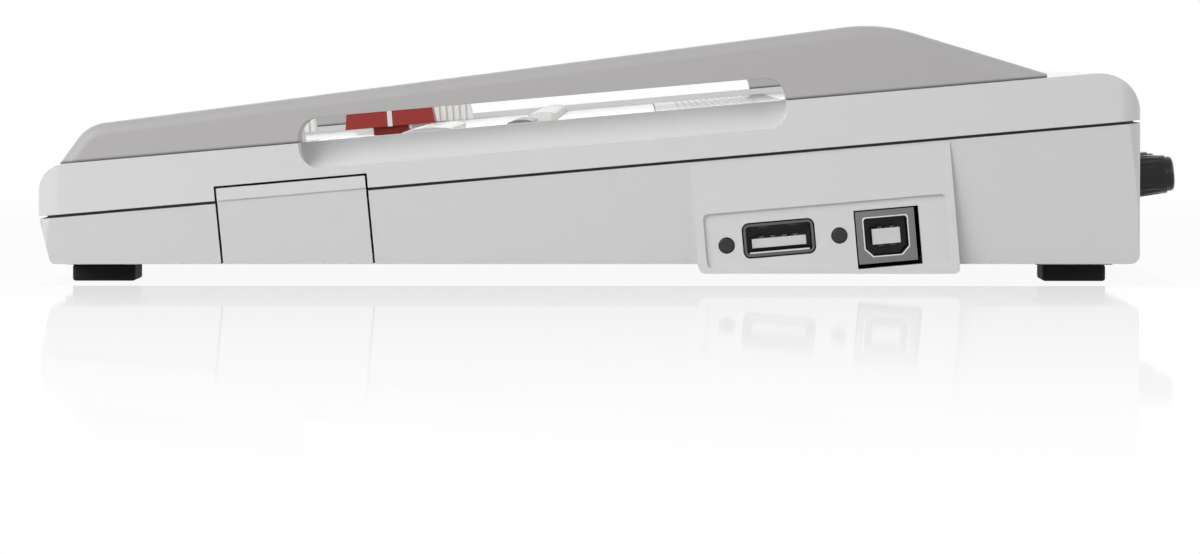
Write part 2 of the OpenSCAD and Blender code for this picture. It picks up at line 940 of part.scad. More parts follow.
// Slabs that the ribs of a channel cap are cut from, with a plain band over the middle
module cap_slabs() {
    pitch = (cap_l - cap_band) / (2 * cap_ribs);
    box([-cap_w, -cap_band / 2, 0], [cap_w, cap_band / 2, deep]);
    for (side = [0, 1], i = [1 : cap_ribs])
        mirror([0, side, 0])
            translate([-cap_w, cap_band / 2 + i * pitch - rib_share * pitch, 0])
                cube([2 * cap_w, rib_share * pitch, deep]);
}

// Neck and stem that carry a cap through the panel
module cap_stem() {
    low = panel_top + cap_gap;
    box([-neck_w / 2, -stem_l / 2, panel_top + clearance], [neck_w / 2, stem_l / 2, low + over]);
    box([-stem_t / 2, -stem_l / 2, panel_under - stem_reach], [stem_t / 2, stem_l / 2, low]);
}

module channel_fader(i) {
    color("ivory")
        on_slope()
            translate([strip_x(i), fader_v + cap_rest[i - 1], 0]) {
                cap_form(rib_d);
                intersection() {
                    cap_form(0);
                    translate([0, 0, panel_top]) cap_slabs();
                }
                cap_stem();
            }
}

module master_fader() {
    color("firebrick")
        on_slope()
            translate([master_x, fader_v + master_rest, 0]) {
                cap_form(0);
                cap_stem();
            }
}

// Key with a crowned top and a flange that holds it under the panel
module key(at, size) {
    crown_r = size[1] * size[1] / (8 * key_crown) + key_crown / 2;
    low = panel_under - clearance;
    on_slope()
        translate([at[0], at[1], 0]) {
            intersection() {
                translate([0, 0, low - flange_t / 2])
                    linear_extrude(panel_top + key_h - low + flange_t) key_outline(size, 0);
                translate([0, 0, panel_top + key_h - crown_r])
                    rotate([0, 90, 0]) cylinder(h = size[0] + over, r = crown_r, center = true, $fn = 96);
            }
            translate([0, 0, low - flange_t]) linear_extrude(flange_t) key_outline(size, flange_w);
        }
}

module track_key(i) {
    color("whitesmoke") key([strip_x(i), track_v], track_key_size);
}

module menu_key(i) {
    color("silver") key([menu_x(i), menu_v], menu_key_size);
}

module transport_key(i) {
    color("ivory") key([transport_x(i), transport_v], transport_key_size);
}

// Outline of a ribbed grip
module ribbed(r, ribs, depth) {
    polygon([for (i = [0 : 2 * ribs - 1])
        (i % 2 == 0 ? r : r - depth) * [cos(180 * i / ribs), sin(180 * i / ribs)]]);
}

module jog_dial() {
    r = dial_d / 2;
    shoulder = r - dial_round;
    rim = shoulder - dial_rim;
    face_z = dial_h - dial_dip;
    color("ivory")
        on_slope()
            translate([dial_at[0], dial_at[1], panel_top + clearance])
                difference() {
                    intersection() {
                        rotate_extrude()
                            polygon([
                                [0, 0],
                                [r - dial_chamfer, 0],
                                [r, dial_chamfer],
                                [r - dial_draft, dial_h - dial_round],
                                [shoulder, dial_h],
                                [rim, dial_h],
                                [rim - dial_dip, face_z],
                                [0, face_z]
                            ]);
                        linear_extrude(dial_h) ribbed(r, dial_ribs, dial_rib_d);
                    }
                    translate([0, 0, -over]) cylinder(r = shaft_d / 2 + shaft_fit, h = dial_bore + over);
                    translate([r / 2, 0, face_z + dimple_r - dimple_d]) sphere(r = dimple_r);
                }
}

// Round pad with a raised middle and four raised arrows
module cursor_pad() {
    r = pad_d / 2;
    low = panel_under - clearance;
    top = panel_t + clearance + key_h - pad_low;
    color("silver")
        on_slope()
            translate([pad_at[0], pad_at[1], low]) {
                rotate_extrude()
                    polygon([
                        [0, -flange_t],
                        [r + flange_w, -flange_t],
                        [r + flange_w, 0],
                        [r, 0],
                        [r, top - pad_edge],
                        [r - pad_edge, top],
                        [r - pad_rim, top - pad_dip],
                        [0, top - pad_dip]
                    ]);
                translate([0, 0, panel_t]) cylinder(r = pad_button_r, h = top - panel_t);
                for (a = [0 : 90 : 270])
                    rotate([0, 0, a])
                        translate([r - pad_arrow_in, 0, panel_t])
                            cylinder(r = pad_arrow_r, h = top - panel_t, $fn = 3);
            }
}

module display_window() {
    x = window_size[0] / 2;
    y = window_size[1] / 2;
    color("black")
        on_slope()
            translate([window_at[0], window_at[1], panel_top])
                difference() {
                    intersection() {
                        linear_extrude(window_h) rounded_rect(window_size, window_r);
                        across(-x, x)
                            polygon([[-y, 0], [y, 0], [y, window_edge], [y - window_bevel, window_h],
                                [-y + window_bevel, window_h], [-y, window_edge]]);
                        rearwards(-y, y)
                            polygon([[-x, 0], [x, 0], [x, window_edge], [x - window_bevel, window_h],
                                [-x + window_bevel, window_h], [-x, window_edge]]);
                    }
                    translate([0, 0, window_h - window_sink])
                        linear_extrude(over) rounded_rect(window_size - 2 * window_rim, glass_r);
                }
}

module display_module() {
    color("darkslategray")
        on_slope()
            translate([window_at[0], window_at[1], board_top]) {
                linear_extrude(board_drop - clearance)
                    rounded_rect(window_size - 2 * module_rim, module_r);
                linear_extrude(board_drop + panel_t - clearance)
                    rounded_rect(window_size - 2 * module_glass_rim, module_r);
            }
}

module meter_window() {
    color("black")
        on_slope()
            translate([meter_at[0], meter_at[1], panel_top - meter_sink])
                linear_extrude(meter_sink + meter_rise) rounded_rect(meter_size, meter_r);
}

module usb_host_port() {
    face = port_face - recess_d - host_sink;
    back = face - host_l;
    tab_x = host_size[0] / 2 - host_r;
    color("silver")
        on_slope() {
            difference() {
                across(back, face) translate(host_at) rounded_rect(host_size, host_r);
                across(back + host_base, face + over)
                    translate(host_at) rounded_rect(host_size - 2 * [shell_t, shell_t], host_r - shell_t);
            }
            across(back + host_base / 2, face - tongue_sink)
                translate(host_at - [0, host_tongue_drop]) square(host_tongue, center = true);
            box([back, host_at[0] - tab_x, host_at[1]], [back + host_base, host_at[0] + tab_x, main_under]);
        }
}

// Mouth of the device socket, seen from the side: cut off below, rounded above
module device_mouth() {
    x = device_mouth_size[0] / 2;
    y = device_mouth_size[1] / 2;
    rounded_outline([
        [-x, -y + device_cut, 0],
        [-x + device_cut, -y, 0],
        [x - device_cut, -y, 0],
        [x, -y + device_cut, 0],
        [x, y, device_mouth_r],
        [-x, y, device_mouth_r]
    ]);
}

module usb_device_port() {
    face = port_face - recess_d - device_sink;
    back = face - device_l;
    tab_x = device_size[0] / 2;
    color("silver")
        on_slope() {
            difference() {
                across(back, face) translate(device_at) square(device_size, center = true);
                across(back + device_base, face + over) translate(device_at) device_mouth();
            }
            box([back, device_at[0] - tab_x, device_at[1]],
                [back + device_base, device_at[0] + tab_x, main_under]);
            across(back + device_base / 2, face - tongue_sink)
                translate(device_at) square(device_tongue, center = true);
        }
}

module port_leds() {
    color("dimgray")
        on_slope()
            across(port_face - recess_d - led_l, port_face - recess_d + led_rise)
                for (at = led_at)
                    translate(at) circle(led_d / 2);
}

module card_socket() {
    face = side_x - socket_in;
    slot_low = board_under - (socket_t + card_slot) / 2;
    color("silver")
        on_slope()
            difference() {
                box([face - socket_l, door_v - socket_l / 2, board_under - socket_t],
                    [face, door_v + socket_l / 2, board_under]);
                box([face - socket_l + socket_back, door_v - card_w / 2, slot_low],
                    [face + over, door_v + card_w / 2, slot_low + card_slot]);
            }
}

// Whole outer form of the case, both halves, with no groove
module case_form() {
    upper_solid(0, 0, part_w);
    lower_solid(0, part_w + over);
}

module card_door() {
    color("lightgray") {
        difference() {
            intersection() {
                case_form();
                card_opening(door_gap);
            }
            translate([-door_t, 0, 0]) case_form();
        }
        door_pin(door_w - 2 * door_gap, hinge_r);
        door_pin(door_w + 2 * hinge_pin_l, hinge_pin_r);
    }
}

module battery_door() {
    x = bay_size[0] / 2 - clearance;
    rear = bay_at[1] + bay_size[1] / 2 - clearance;
    notch_r = 9;
    color("lightgray") {
        difference() {
            box([bay_at[0] - x, bay_hinge_y, floor_gap], [bay_at[0] + x, rear, floor_gap + lid_t]);
            translate([bay_at[0], rear + notch_r / 2, floor_gap - over])
                cylinder(r = notch_r, h = over + lid_t / 2);
        }
        lid_pin(2 * x, lid_barrel_r);
        lid_pin(bay_size[0] + 2 * lid_pin_l, lid_pin_r);
    }
}

module battery_contacts() {
    pitch = bay_size[1] / contact_rows;
    color("silver")
        translate([bay_at[0], bay_at[1], bay_low + contact_in])
            for (end = [0, 1])
                mirror([end, 0, 0])
                    translate([-bay_size[0] / 2, 0, 0]) {
                        translate([0, -bay_size[1] / 2 + contact_in, 0])
                            cube([contact_t, bay_size[1] - 2 * contact_in, contact_h]);
                        for (row = [1 : contact_rows])
                            translate([contact_t / 2, (row - (contact_rows + 1) / 2) * pitch, contact_h / 2])
                                rotate([0, 90, 0])
                                    cylinder(r1 = spring_r[0], r2 = spring_r[1], h = spring_l);
                    }
}

// Combination input jack behind the rear wall
module input_jack(i) {
    translate([input_at(i), inside_y, input_z])
        difference() {
            union() {
                box([-input_body[0] / 2, -input_body[1], -input_body[2] / 2],
                    [input_body[0] / 2, 0, input_body[2] / 2]);
                rotate([-90, 0, 0]) cylinder(h = wall, r = jack_d / 2);
            }
            rotate([-90, 0, 0])
                translate([0, 0, jack_back - input_body[1]])
                    cylinder(h = input_body[1] + wall, r = plug_d / 2);
            for (a = [0, 90, 180])
                translate([pin_circle * cos(a), -pin_l, -pin_circle * sin(a)])
                    rotate([-90, 0, 0]) cylinder(h = pin_l + wall + over, r = pin_r);
        }
}

module input_jacks() {
    color("dimgray")
        for (i = strips)
            input_jack(i);
}

module line_jacks() {
    color("dimgray")
        for (at = line_at)
            difference() {
                union() {
                    translate([at[0] - line_body[0] / 2, inside_y - line_body[1], at[1] - line_body[2] / 2])
                        cube(line_body);
                    square_rear(at, -wall - over, line_nut_t, line_thread_r);
                    square_rear(at, 0, line_nut_t - line_thread_out, line_nut_d / 2);
                }
                square_rear(at, line_back - wall - line_body[1], line_nut_t + over, plug_d / 2);
            }
}

module power_inlet() {
    x = inlet_body[0] / 2;
    z = inlet_body[2] / 2;
    color("black") {
        difference() {
            union() {
                translate([inlet_at[0], inside_y, inlet_at[1]]) box([-x, -inlet_body[1], -z], [x, 0, z]);
                square_rear(inlet_at, -wall - over, 0, inlet_d / 2);
            }
            square_rear(inlet_at, -inlet_l, over, inlet_bore_r);
        }
        square_rear(inlet_at, -inlet_l - over, -inlet_pin_sink, inlet_pin_r);
    }
}

module power_slider() {
    low = inside_y - clearance - slider_flange[2];
    translate([power_at[0] - power_travel / 2, 0, power_at[1]])
        color("black") {
            box([-slider_nub[0] / 2, low, -slider_nub[1] / 2],
                [slider_nub[0] / 2, rear_y + slider_out, slider_nub[1] / 2]);
            box([-slider_flange[0] / 2, low, -slider_flange[1] / 2],
                [slider_flange[0] / 2, inside_y - clearance, slider_flange[1] / 2]);
        }
}

// Knob on the rear wall, at [x, z]: a ribbed grip with a smooth domed end
module rear_knob(at) {
    w = (at[1] - z_at(rear_y, 0)) * cos(slope);
    v = (rear_y + w * sin(slope)) / cos(slope);
    r = knob_d / 2;
    grip_l = knob_l - knob_dome;
    dome_r = r - knob_draft - knob_rib_d;
    on_slope()
        translate([at[0], v + knob_gap, w])
            rotate([-90, 0, 0])
                difference() {
                    union() {
                        intersection() {
                            cylinder(r1 = r, r2 = r - knob_draft, h = grip_l);
                            linear_extrude(grip_l) ribbed(r, knob_ribs, knob_rib_d);
                        }
                        rotate_extrude()
                            polygon([
                                [0, 0],
                                [dome_r, 0],
                                [dome_r, knob_l - knob_round],
                                [dome_r - knob_round / 3, knob_l - knob_round / 3],
                                [dome_r - knob_round, knob_l],
                                [0, knob_l]
                            ]);
                    }
                    translate([0, 0, -over]) cylinder(r = shaft_d / 2 + shaft_fit, h = knob_bore + over);
                }
}

module gain_knob(i) {
    color("black") rear_knob([gain_at(i), gain_z]);
}

module phones_knob() {
    color("black") rear_knob(phones_at);
}

module screws() {
    color("silver")
        at_bosses() {
            translate([0, 0, floor_gap + head_sink]) cylinder(r = screw_head[0], h = screw_head[1]);
            translate([0, 0, floor_gap + 2 * head_sink]) cylinder(r = screw_r, h = screw_l);
        }
}

lower_case();
upper_case();
top_panel();
rail_left();
rail_right();
display_window();
display_module();
meter_window();
panel_board();
main_board();
potentiometers();
input_jacks();
line_jacks();
power_inlet();
power_slider();
usb_host_port();
usb_device_port();
port_leds();
card_socket();
card_door();
battery_door();
battery_contacts();
feet();
screws();
master_fader();
phones_knob();
jog_dial();
cursor_pad();
for (i = [0 : len(transport_names) - 1])
    transport_key(i);
for (i = menu_keys)
    menu_key(i);
for (i = strips) {
    track_key(i);
    channel_fader(i);
    gain_knob(i);
}
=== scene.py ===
"""Looks of a desktop multitrack recorder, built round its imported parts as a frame."""

import math

import bmesh
import bpy
from mathutils import Matrix, Vector
from mathutils.bvhtree import BVHTree


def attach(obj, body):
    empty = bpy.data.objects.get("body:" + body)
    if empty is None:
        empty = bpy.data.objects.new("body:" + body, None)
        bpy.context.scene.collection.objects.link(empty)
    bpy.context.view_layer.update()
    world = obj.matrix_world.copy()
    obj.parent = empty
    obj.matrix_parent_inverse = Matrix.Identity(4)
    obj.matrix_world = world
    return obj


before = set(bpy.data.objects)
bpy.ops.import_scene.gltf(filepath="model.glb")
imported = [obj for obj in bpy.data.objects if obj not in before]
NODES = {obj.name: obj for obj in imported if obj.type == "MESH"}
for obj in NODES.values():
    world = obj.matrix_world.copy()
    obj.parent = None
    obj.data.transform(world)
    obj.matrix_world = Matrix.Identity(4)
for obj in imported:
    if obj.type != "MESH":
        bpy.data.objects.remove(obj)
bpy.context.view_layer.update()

bl_info = {
    "name": "Multitrack recorder looks",
    "version": (1, 0, 0),
    "blender": (4, 5, 0),
    "location": "View3D > Sidebar > Recorder",
    "description": "Finishes, printed marks and small parts of a desktop multitrack recorder",
    "category": "Object",
}

ROOT = "chassis"
MM = 0.001

# The sloped top: SLOPED stands on it, with Y up the slope, and SIDE looks at it from the right
SLOPE = math.radians(5)
SEAT_Z = 35.1 * MM
SLOPED = Matrix.Translation((0, 0, SEAT_Z)) @ Matrix.Rotation(SLOPE, 4, "X")
SIDE = SLOPED @ Matrix(((0, 0, 1, 0), (1, 0, 0, 0), (0, 1, 0, 0), (0, 0, 0, 1)))

# Millimetres square to the slope: the panel's face, and the gap between the case halves
PANEL_TOP = -1.6
PARTING = (-11.05, -10.35)

# How the meshes are joined, flattened, rounded and shaded
WELD_REACH = 0.001 * MM
FLAT_ANGLE = math.radians(0.4)
EDGE_SEGMENTS = 2
SMOOTH_ANGLE = math.radians(32)

# Height of a figure as a share of its font's size, and the steps in its curves
FIGURE_SHARE, FIGURE_STEPS = 0.7, 4

# Part of a face's normal along an axis from which it counts as facing that way
FACING = 0.9

CHANNELS = range(1, 9)
TRANSPORT = ("rewind_key", "forward_key", "stop_key", "play_key", "record_key")
MENU_KEYS = ("menu_key_1", "menu_key_2", "menu_key_3")
TRACK_KEYS = tuple(f"track_key_{i}" for i in CHANNELS)
FADERS = tuple(f"channel_fader_{i}" for i in CHANNELS)
GAIN_KNOBS = tuple(f"gain_knob_{i}" for i in CHANNELS)


def colour(name, about, default):
    """A colour that the user can change, as linear red, green and blue."""
    return bpy.props.FloatVectorProperty(
        name=name, description=about, default=default, subtype="COLOR", size=3, min=0, max=1
    )


def length(name, about, default):
    """A length that the user can change, in metres."""
    return bpy.props.FloatProperty(
        name=name, description=about, default=default, unit="LENGTH", subtype="DISTANCE",
        min=0, precision=5
    )


class RecorderColours(bpy.types.PropertyGroup):
    """Colours of the recorder's finishes"""

    upper_shell: colour("Upper shell", "Satin paint of the upper case", (0.63, 0.627, 0.625))
    # Painted light: the hollows are lighter to make up for the rail's shadow on them
    hollow: colour("Finger hollows", "Smoother paint under the finger slots", (0.80, 0.797, 0.795))
    lower_shell: colour("Lower shell", "Satin paint of the lower case", (0.63, 0.627, 0.625))
    rail: colour("Rails", "Darker satin paint of the side rails", (0.42, 0.41, 0.407))
    panel: colour("Panel", "Gloss face of the top panel", (0.66, 0.665, 0.672))
    # The dark print colour also paints the shade in the screws' cross recesses
    print_dark: colour("Dark print", "Printed numbers and ticks", (0.055, 0.056, 0.06))
    key_light: colour("Light keys", "Off-white keys and the dial", (0.70, 0.69, 0.665))
    key_grey: colour("Grey keys", "Grey menu keys and the cursor pad", (0.30, 0.295, 0.29))
    cap_light: colour("Channel caps", "Off-white channel fader caps", (0.71, 0.70, 0.675))
    cap_red: colour("Master cap", "Red master fader cap", (0.245, 0.015, 0.011))
    white_inlay: colour("White inlay", "Lines on the master cap and the knobs", (0.60, 0.595, 0.585))
    record_ink: colour("Record sign", "Red print on the record key", (0.55, 0.03, 0.02))
    knob: colour("Knobs", "Black knobs on the rear wall", (0.005, 0.0052, 0.006))
    black_plastic: colour("Black plastic", "Jacks and the power inlet", (0.022, 0.022, 0.024))
    # Painted shade: the dark finish of faces in the gaps and of the parting lip, for the shade that falls
    # there
    gap: colour("Gaps", "Unpainted faces inside the gaps of the case", (0.10, 0.10, 0.103))
    # Painted shade: the dark finish inside the ports' mouths and on the host port's springs, for the shade
    # deep in them
    inside: colour("Inner faces", "Dark plastic inside the ports", (0.025, 0.025, 0.027))
    rubber: colour("Feet", "Rubber feet", (0.009, 0.009, 0.009))
    window: colour("Windows", "Dark display and meter windows", (0.012, 0.013, 0.016))
    display_glass: colour("Display glass", "Greenish glass of the display", (0.20, 0.25, 0.21))
    meter_green: colour("Meter green", "Unlit low segments of the meter", (0.03, 0.10, 0.045))
    meter_amber: colour("Meter amber", "Unlit high segments of the meter", (0.16, 0.10, 0.02))
    meter_red: colour("Meter red", "Unlit top segments of the meter", (0.17, 0.025, 0.02))
    port_shell: colour("Port nickel", "Plated steel of the card socket", (0.62, 0.61, 0.60))
    # Painted reflection: the host port's nickel shell darkened to show the dark surroundings that it
    # reflects
    host_shell: colour("Host port", "Dark steel shell of the host port", (0.10, 0.10, 0.105))
    device_shell: colour("Device port", "Dull steel shell of the device port", (0.15, 0.15, 0.155))
    port_rim: colour("Port rim", "Bright edge round the device port's mouth", (0.60, 0.60, 0.60))
    port_tongue: colour("Port tongues", "Pale plastic tongues in the ports", (0.58, 0.58, 0.57))
    port_blade: colour("Port contacts", "Contact blades on the tongues", (0.07, 0.065, 0.06))
    lamp: colour("Port lamps", "Unlit lamps beside the ports", (0.014, 0.013, 0.016))
    contact: colour("Battery contacts", "Nickel-plated spring contacts", (0.62, 0.61, 0.58))
    screw: colour("Screws", "Zinc-plated screws", (0.40, 0.40, 0.41))
    control: colour("Potentiometers", "Steel bodies of the potentiometers", (0.45, 0.45, 0.46))
    board: colour("Boards", "Solder mask of the circuit boards", (0.02, 0.11, 0.045))
    floor: colour("Floor", "Table top under the recorder, seen as white", (0.35, 0.35, 0.35))


class RecorderSizes(bpy.types.PropertyGroup):
    """Sizes of the small edges and marks"""

    shell_edge: length("Shell edge", "Radius on the edges of the case halves", 0.2 * MM)
    key_edge: length("Key edge", "Radius on the edges of keys and caps", 0.3 * MM)
    print_height: length("Print height", "Thickness of the printed marks", 0.03 * MM)
    tick_width: length("Tick width", "Width of a printed fader tick", 0.35 * MM)
    digit_height: length("Digit height", "Height of the printed track numbers", 3.2 * MM)


class RecorderStage(bpy.types.PropertyGroup):
    """Camera and light round the recorder"""

    camera_at: bpy.props.FloatVectorProperty(
        name="Camera place", description="Where the camera stands", default=(1.263, 0.0064, 0.0477),
        subtype="TRANSLATION", unit="LENGTH", size=3,
    )
    lens: bpy.props.FloatProperty(
        name="Lens", description="Focal length of the camera in millimetres", default=156.1, min=10
    )
    light_level: bpy.props.FloatProperty(
        name="Light level", description="Strength of the studio lamps", default=1.0, min=0
    )


def settings():
    """The values of the present scene."""
    return bpy.context.scene.recorder_looks


class RecorderLooks(bpy.types.PropertyGroup):
    """Everything that a user can change"""

    colours: bpy.props.PointerProperty(type=RecorderColours)
    sizes: bpy.props.PointerProperty(type=RecorderSizes)
    stage: bpy.props.PointerProperty(type=RecorderStage)


def place(tree, kind, **values):
    """A new node, with attributes by lower-case name and input sockets by a dict named inputs."""
    made = tree.nodes.new(kind)
    for name, value in values.pop("inputs", {}).items():
        made.inputs[name].default_value = value
    for name, value in values.items():
        setattr(made, name, value)
    return made


def new_group(name, inputs, outputs):
    """A shader node group with named sockets, and its two end nodes."""
    tree = bpy.data.node_groups.new(name, "ShaderNodeTree")
    for label, kind, default in inputs:
        socket = tree.interface.new_socket(label, in_out="INPUT", socket_type=kind)
        socket.default_value = default
    for label, kind in outputs:
        tree.interface.new_socket(label, in_out="OUTPUT", socket_type=kind)
    return tree, place(tree, "NodeGroupInput"), place(tree, "NodeGroupOutput")


def noise(tree, coords, scale, detail=2.0, rough=0.5):
    """A noise texture on the given coordinates; scale may be a socket or a number."""
    made = place(tree, "ShaderNodeTexNoise", inputs={"Detail": detail, "Roughness": rough})
    tree.links.new(coords, made.inputs["Vector"])
    if isinstance(scale, (int, float)):
        made.inputs["Scale"].default_value = scale
    else:
        tree.links.new(scale, made.inputs["Scale"])
    return made.outputs["Fac"]


def spread(tree, value, low, high, to_low=0.0, to_high=1.0):
    """Maps a value from one range to another, and clamps it."""
    made = place(tree, "ShaderNodeMapRange", inputs={
        "From Min": low, "From Max": high, "To Min": to_low, "To Max": to_high})
    tree.links.new(value, made.inputs["Value"])
    return made.outputs["Result"]


def maths(tree, operation, a, b):
    """One Math node; each side may be a socket or a number."""
    made = place(tree, "ShaderNodeMath", operation=operation)
    for socket, value in zip(made.inputs, (a, b)):
        if isinstance(value, (int, float)):
            socket.default_value = value
        else:
            tree.links.new(value, socket)
    return made.outputs[0]


def blend(tree, factor, a, b):
    """A colour mix; each side may be a socket or a colour."""
    made = place(tree, "ShaderNodeMix", data_type="RGBA")
    tree.links.new(factor, made.inputs["Factor"])
    # The node has a pair of sockets for each type, and the colours are at 6 and 7, with their result at 2
    for socket, value in zip((made.inputs[6], made.inputs[7]), (a, b)):
        if isinstance(value, bpy.types.NodeSocket):
            tree.links.new(value, socket)
        else:
            socket.default_value = (*value[:3], 1)
    return made.outputs[2]


def scaled(tree, value, factor):
    """A colour times a number, both from sockets."""
    made = place(tree, "ShaderNodeVectorMath", operation="SCALE")
    tree.links.new(value, made.inputs[0])
    tree.links.new(factor, made.inputs["Scale"])
    return made.outputs[0]


def axes(tree, value):
    """The X, Y and Z of a vector socket."""
    made = place(tree, "ShaderNodeSeparateXYZ")
    tree.links.new(value, made.inputs[0])
    return made.outputs


def mixed_shaders(tree, factor, first, second):
    """The first shader at factor 0, the second at 1."""
    made = place(tree, "ShaderNodeMixShader")
    for socket, value in zip(made.inputs, (factor, first, second)):
        tree.links.new(value, socket)
    return made.outputs[0]


def object_coords(tree):
    """Places on the object itself, in metres."""
    return place(tree, "ShaderNodeTexCoord").outputs["Object"]


def moulded_grain():
    """Fine pebbled texture of a moulded or spray-painted plastic, with a slow drift of tone."""
    tree, start, end = new_group(
        "Moulded grain",
        [("Color", "NodeSocketColor", (0.5, 0.5, 0.5, 1)), ("Grain scale", "NodeSocketFloat", 2600.0),
         ("Drift", "NodeSocketFloat", 0.03)],
        [("Color", "NodeSocketColor"), ("Height", "NodeSocketFloat")],
    )
    coords = object_coords(tree)
    grain = noise(tree, coords, start.outputs["Grain scale"], 3.0, 0.55)
    speck = noise(tree, coords, maths(tree, "MULTIPLY", start.outputs["Grain scale"], 0.31), 1.0)
    slow = noise(tree, coords, 9.0, 3.0, 0.6)
    tone = maths(tree, "ADD", maths(tree, "MULTIPLY", maths(tree, "SUBTRACT", slow, 0.5), 1.4),
                 maths(tree, "MULTIPLY", maths(tree, "SUBTRACT", grain, 0.5), 0.8))
    gain = maths(tree, "ADD", 1.0, maths(tree, "MULTIPLY", tone, start.outputs["Drift"]))
    tree.links.new(scaled(tree, start.outputs["Color"], gain), end.inputs["Color"])
    tree.links.new(maths(tree, "ADD", grain, maths(tree, "MULTIPLY", speck, 0.5)), end.inputs["Height"])
    return tree


def handling():
    """Roughness that varies a little where hands and cloths have touched."""
    tree, start, end = new_group(
        "Handling",
        [("Roughness", "NodeSocketFloat", 0.4), ("Amount", "NodeSocketFloat", 0.08)],
        [("Roughness", "NodeSocketFloat")],
    )
    coords = object_coords(tree)
    smear = noise(tree, coords, 42.0, 4.0, 0.62)
    streak = noise(tree, coords, 230.0, 2.0)
    mask = maths(tree, "ADD", maths(tree, "MULTIPLY", smear, 0.75), maths(tree, "MULTIPLY", streak, 0.25))
    swing = maths(tree, "MULTIPLY", maths(tree, "SUBTRACT", mask, 0.5), start.outputs["Amount"])
    tree.links.new(maths(tree, "ADD", start.outputs["Roughness"], swing), end.inputs["Roughness"])
    return tree


def dust():
    """A thin film of dust on faces that look up."""
    tree, start, end = new_group(
        "Dust",
        [("Color", "NodeSocketColor", (0.5, 0.5, 0.5, 1)), ("Amount", "NodeSocketFloat", 0.05)],
        [("Color", "NodeSocketColor")],
    )
    facing = axes(tree, place(tree, "ShaderNodeNewGeometry").outputs["Normal"])
    up = spread(tree, facing["Z"], 0.5, 1.0)
    fleck = spread(tree, noise(tree, object_coords(tree), 900.0, 4.0, 0.7), 0.45, 0.75)
    amount = maths(tree, "MULTIPLY", maths(tree, "MULTIPLY", up, fleck), start.outputs["Amount"])
    mixed = blend(tree, amount, start.outputs["Color"], (0.62, 0.60, 0.56))
    tree.links.new(mixed, end.inputs["Color"])
    return tree


def brushed():
    """Fine drawing lines of stamped or turned metal, along X."""
    tree, start, end = new_group(
        "Brushed",
        [("Color", "NodeSocketColor", (0.5, 0.5, 0.5, 1)), ("Stretch", "NodeSocketFloat", 12.0)],
        [("Color", "NodeSocketColor"), ("Height", "NodeSocketFloat")],
    )
    split = axes(tree, object_coords(tree))
    joined = place(tree, "ShaderNodeCombineXYZ")
    tree.links.new(maths(tree, "DIVIDE", split["X"], start.outputs["Stretch"]), joined.inputs["X"])
    for axis in ("Y", "Z"):
        tree.links.new(split[axis], joined.inputs[axis])
    lines = noise(tree, joined.outputs[0], 3200.0, 3.0, 0.6)
    stain = noise(tree, object_coords(tree), 160.0, 3.0)
    gain = maths(tree, "ADD", 0.86, maths(tree, "MULTIPLY", maths(tree, "ADD", lines, stain), 0.14))
    tree.links.new(scaled(tree, start.outputs["Color"], gain), end.inputs["Color"])
    tree.links.new(lines, end.inputs["Height"])
    return tree


def seam():
    """Painted shade: darkens a colour in a band at the sloped seat, standing in for the shadow in the
    narrow gap under a rail.
    """
    tree, start, end = new_group(
        "Seam",
        [("Color", "NodeSocketColor", (0.5, 0.5, 0.5, 1)), ("Level", "NodeSocketFloat", 0.3 * MM),
         ("Amount", "NodeSocketFloat", 1.0)],
        [("Color", "NodeSocketColor")],
    )
    along = place(tree, "ShaderNodeVectorMath", operation="DOT_PRODUCT",
                  inputs={1: (0, -math.sin(SLOPE), math.cos(SLOPE))})
    tree.links.new(object_coords(tree), along.inputs[0])
    level = maths(tree, "SUBTRACT", along.outputs["Value"], SEAT_Z * math.cos(SLOPE))
    near = maths(tree, "SUBTRACT", 1.0, maths(tree, "DIVIDE", maths(tree, "ABSOLUTE", level, 0.0),
                                              start.outputs["Level"]))
    inside = maths(tree, "MULTIPLY", maths(tree, "MAXIMUM", near, 0.0), start.outputs["Amount"])
    left = maths(tree, "SUBTRACT", 1.0, inside)
    tree.links.new(scaled(tree, start.outputs["Color"], left), end.inputs["Color"])
    return tree


def effect(name):
    """A shared effect, built the first time that a material asks for it."""
    makers = {"Moulded grain": moulded_grain, "Handling": handling, "Dust": dust, "Brushed": brushed,
              "Seam": seam}
    return bpy.data.node_groups.get(name) or makers[name]()


def use(tree, name, **inputs):
    """Places a shared effect in a material, with its own values."""
    made = place(tree, "ShaderNodeGroup", node_tree=effect(name))
    for label, value in inputs.items():
        socket = made.inputs[label.replace("_", " ")]
        if isinstance(value, bpy.types.NodeSocket):
            tree.links.new(value, socket)
        else:
            socket.default_value = value
    return made


def bare_material(name):
    """An empty node material, its tree and its Principled shader."""
    made = bpy.data.materials.new(name)
    made.use_nodes = True
    tree = made.node_tree
    return made, tree, tree.nodes["Principled BSDF"]


def bump(tree, shader, height, strength, distance):
    """Bends a shader's normal by a height."""
    made = place(tree, "ShaderNodeBump", inputs={"Strength": strength, "Distance": distance})
    tree.links.new(height, made.inputs["Height"])
    tree.links.new(made.outputs["Normal"], shader.inputs["Normal"])


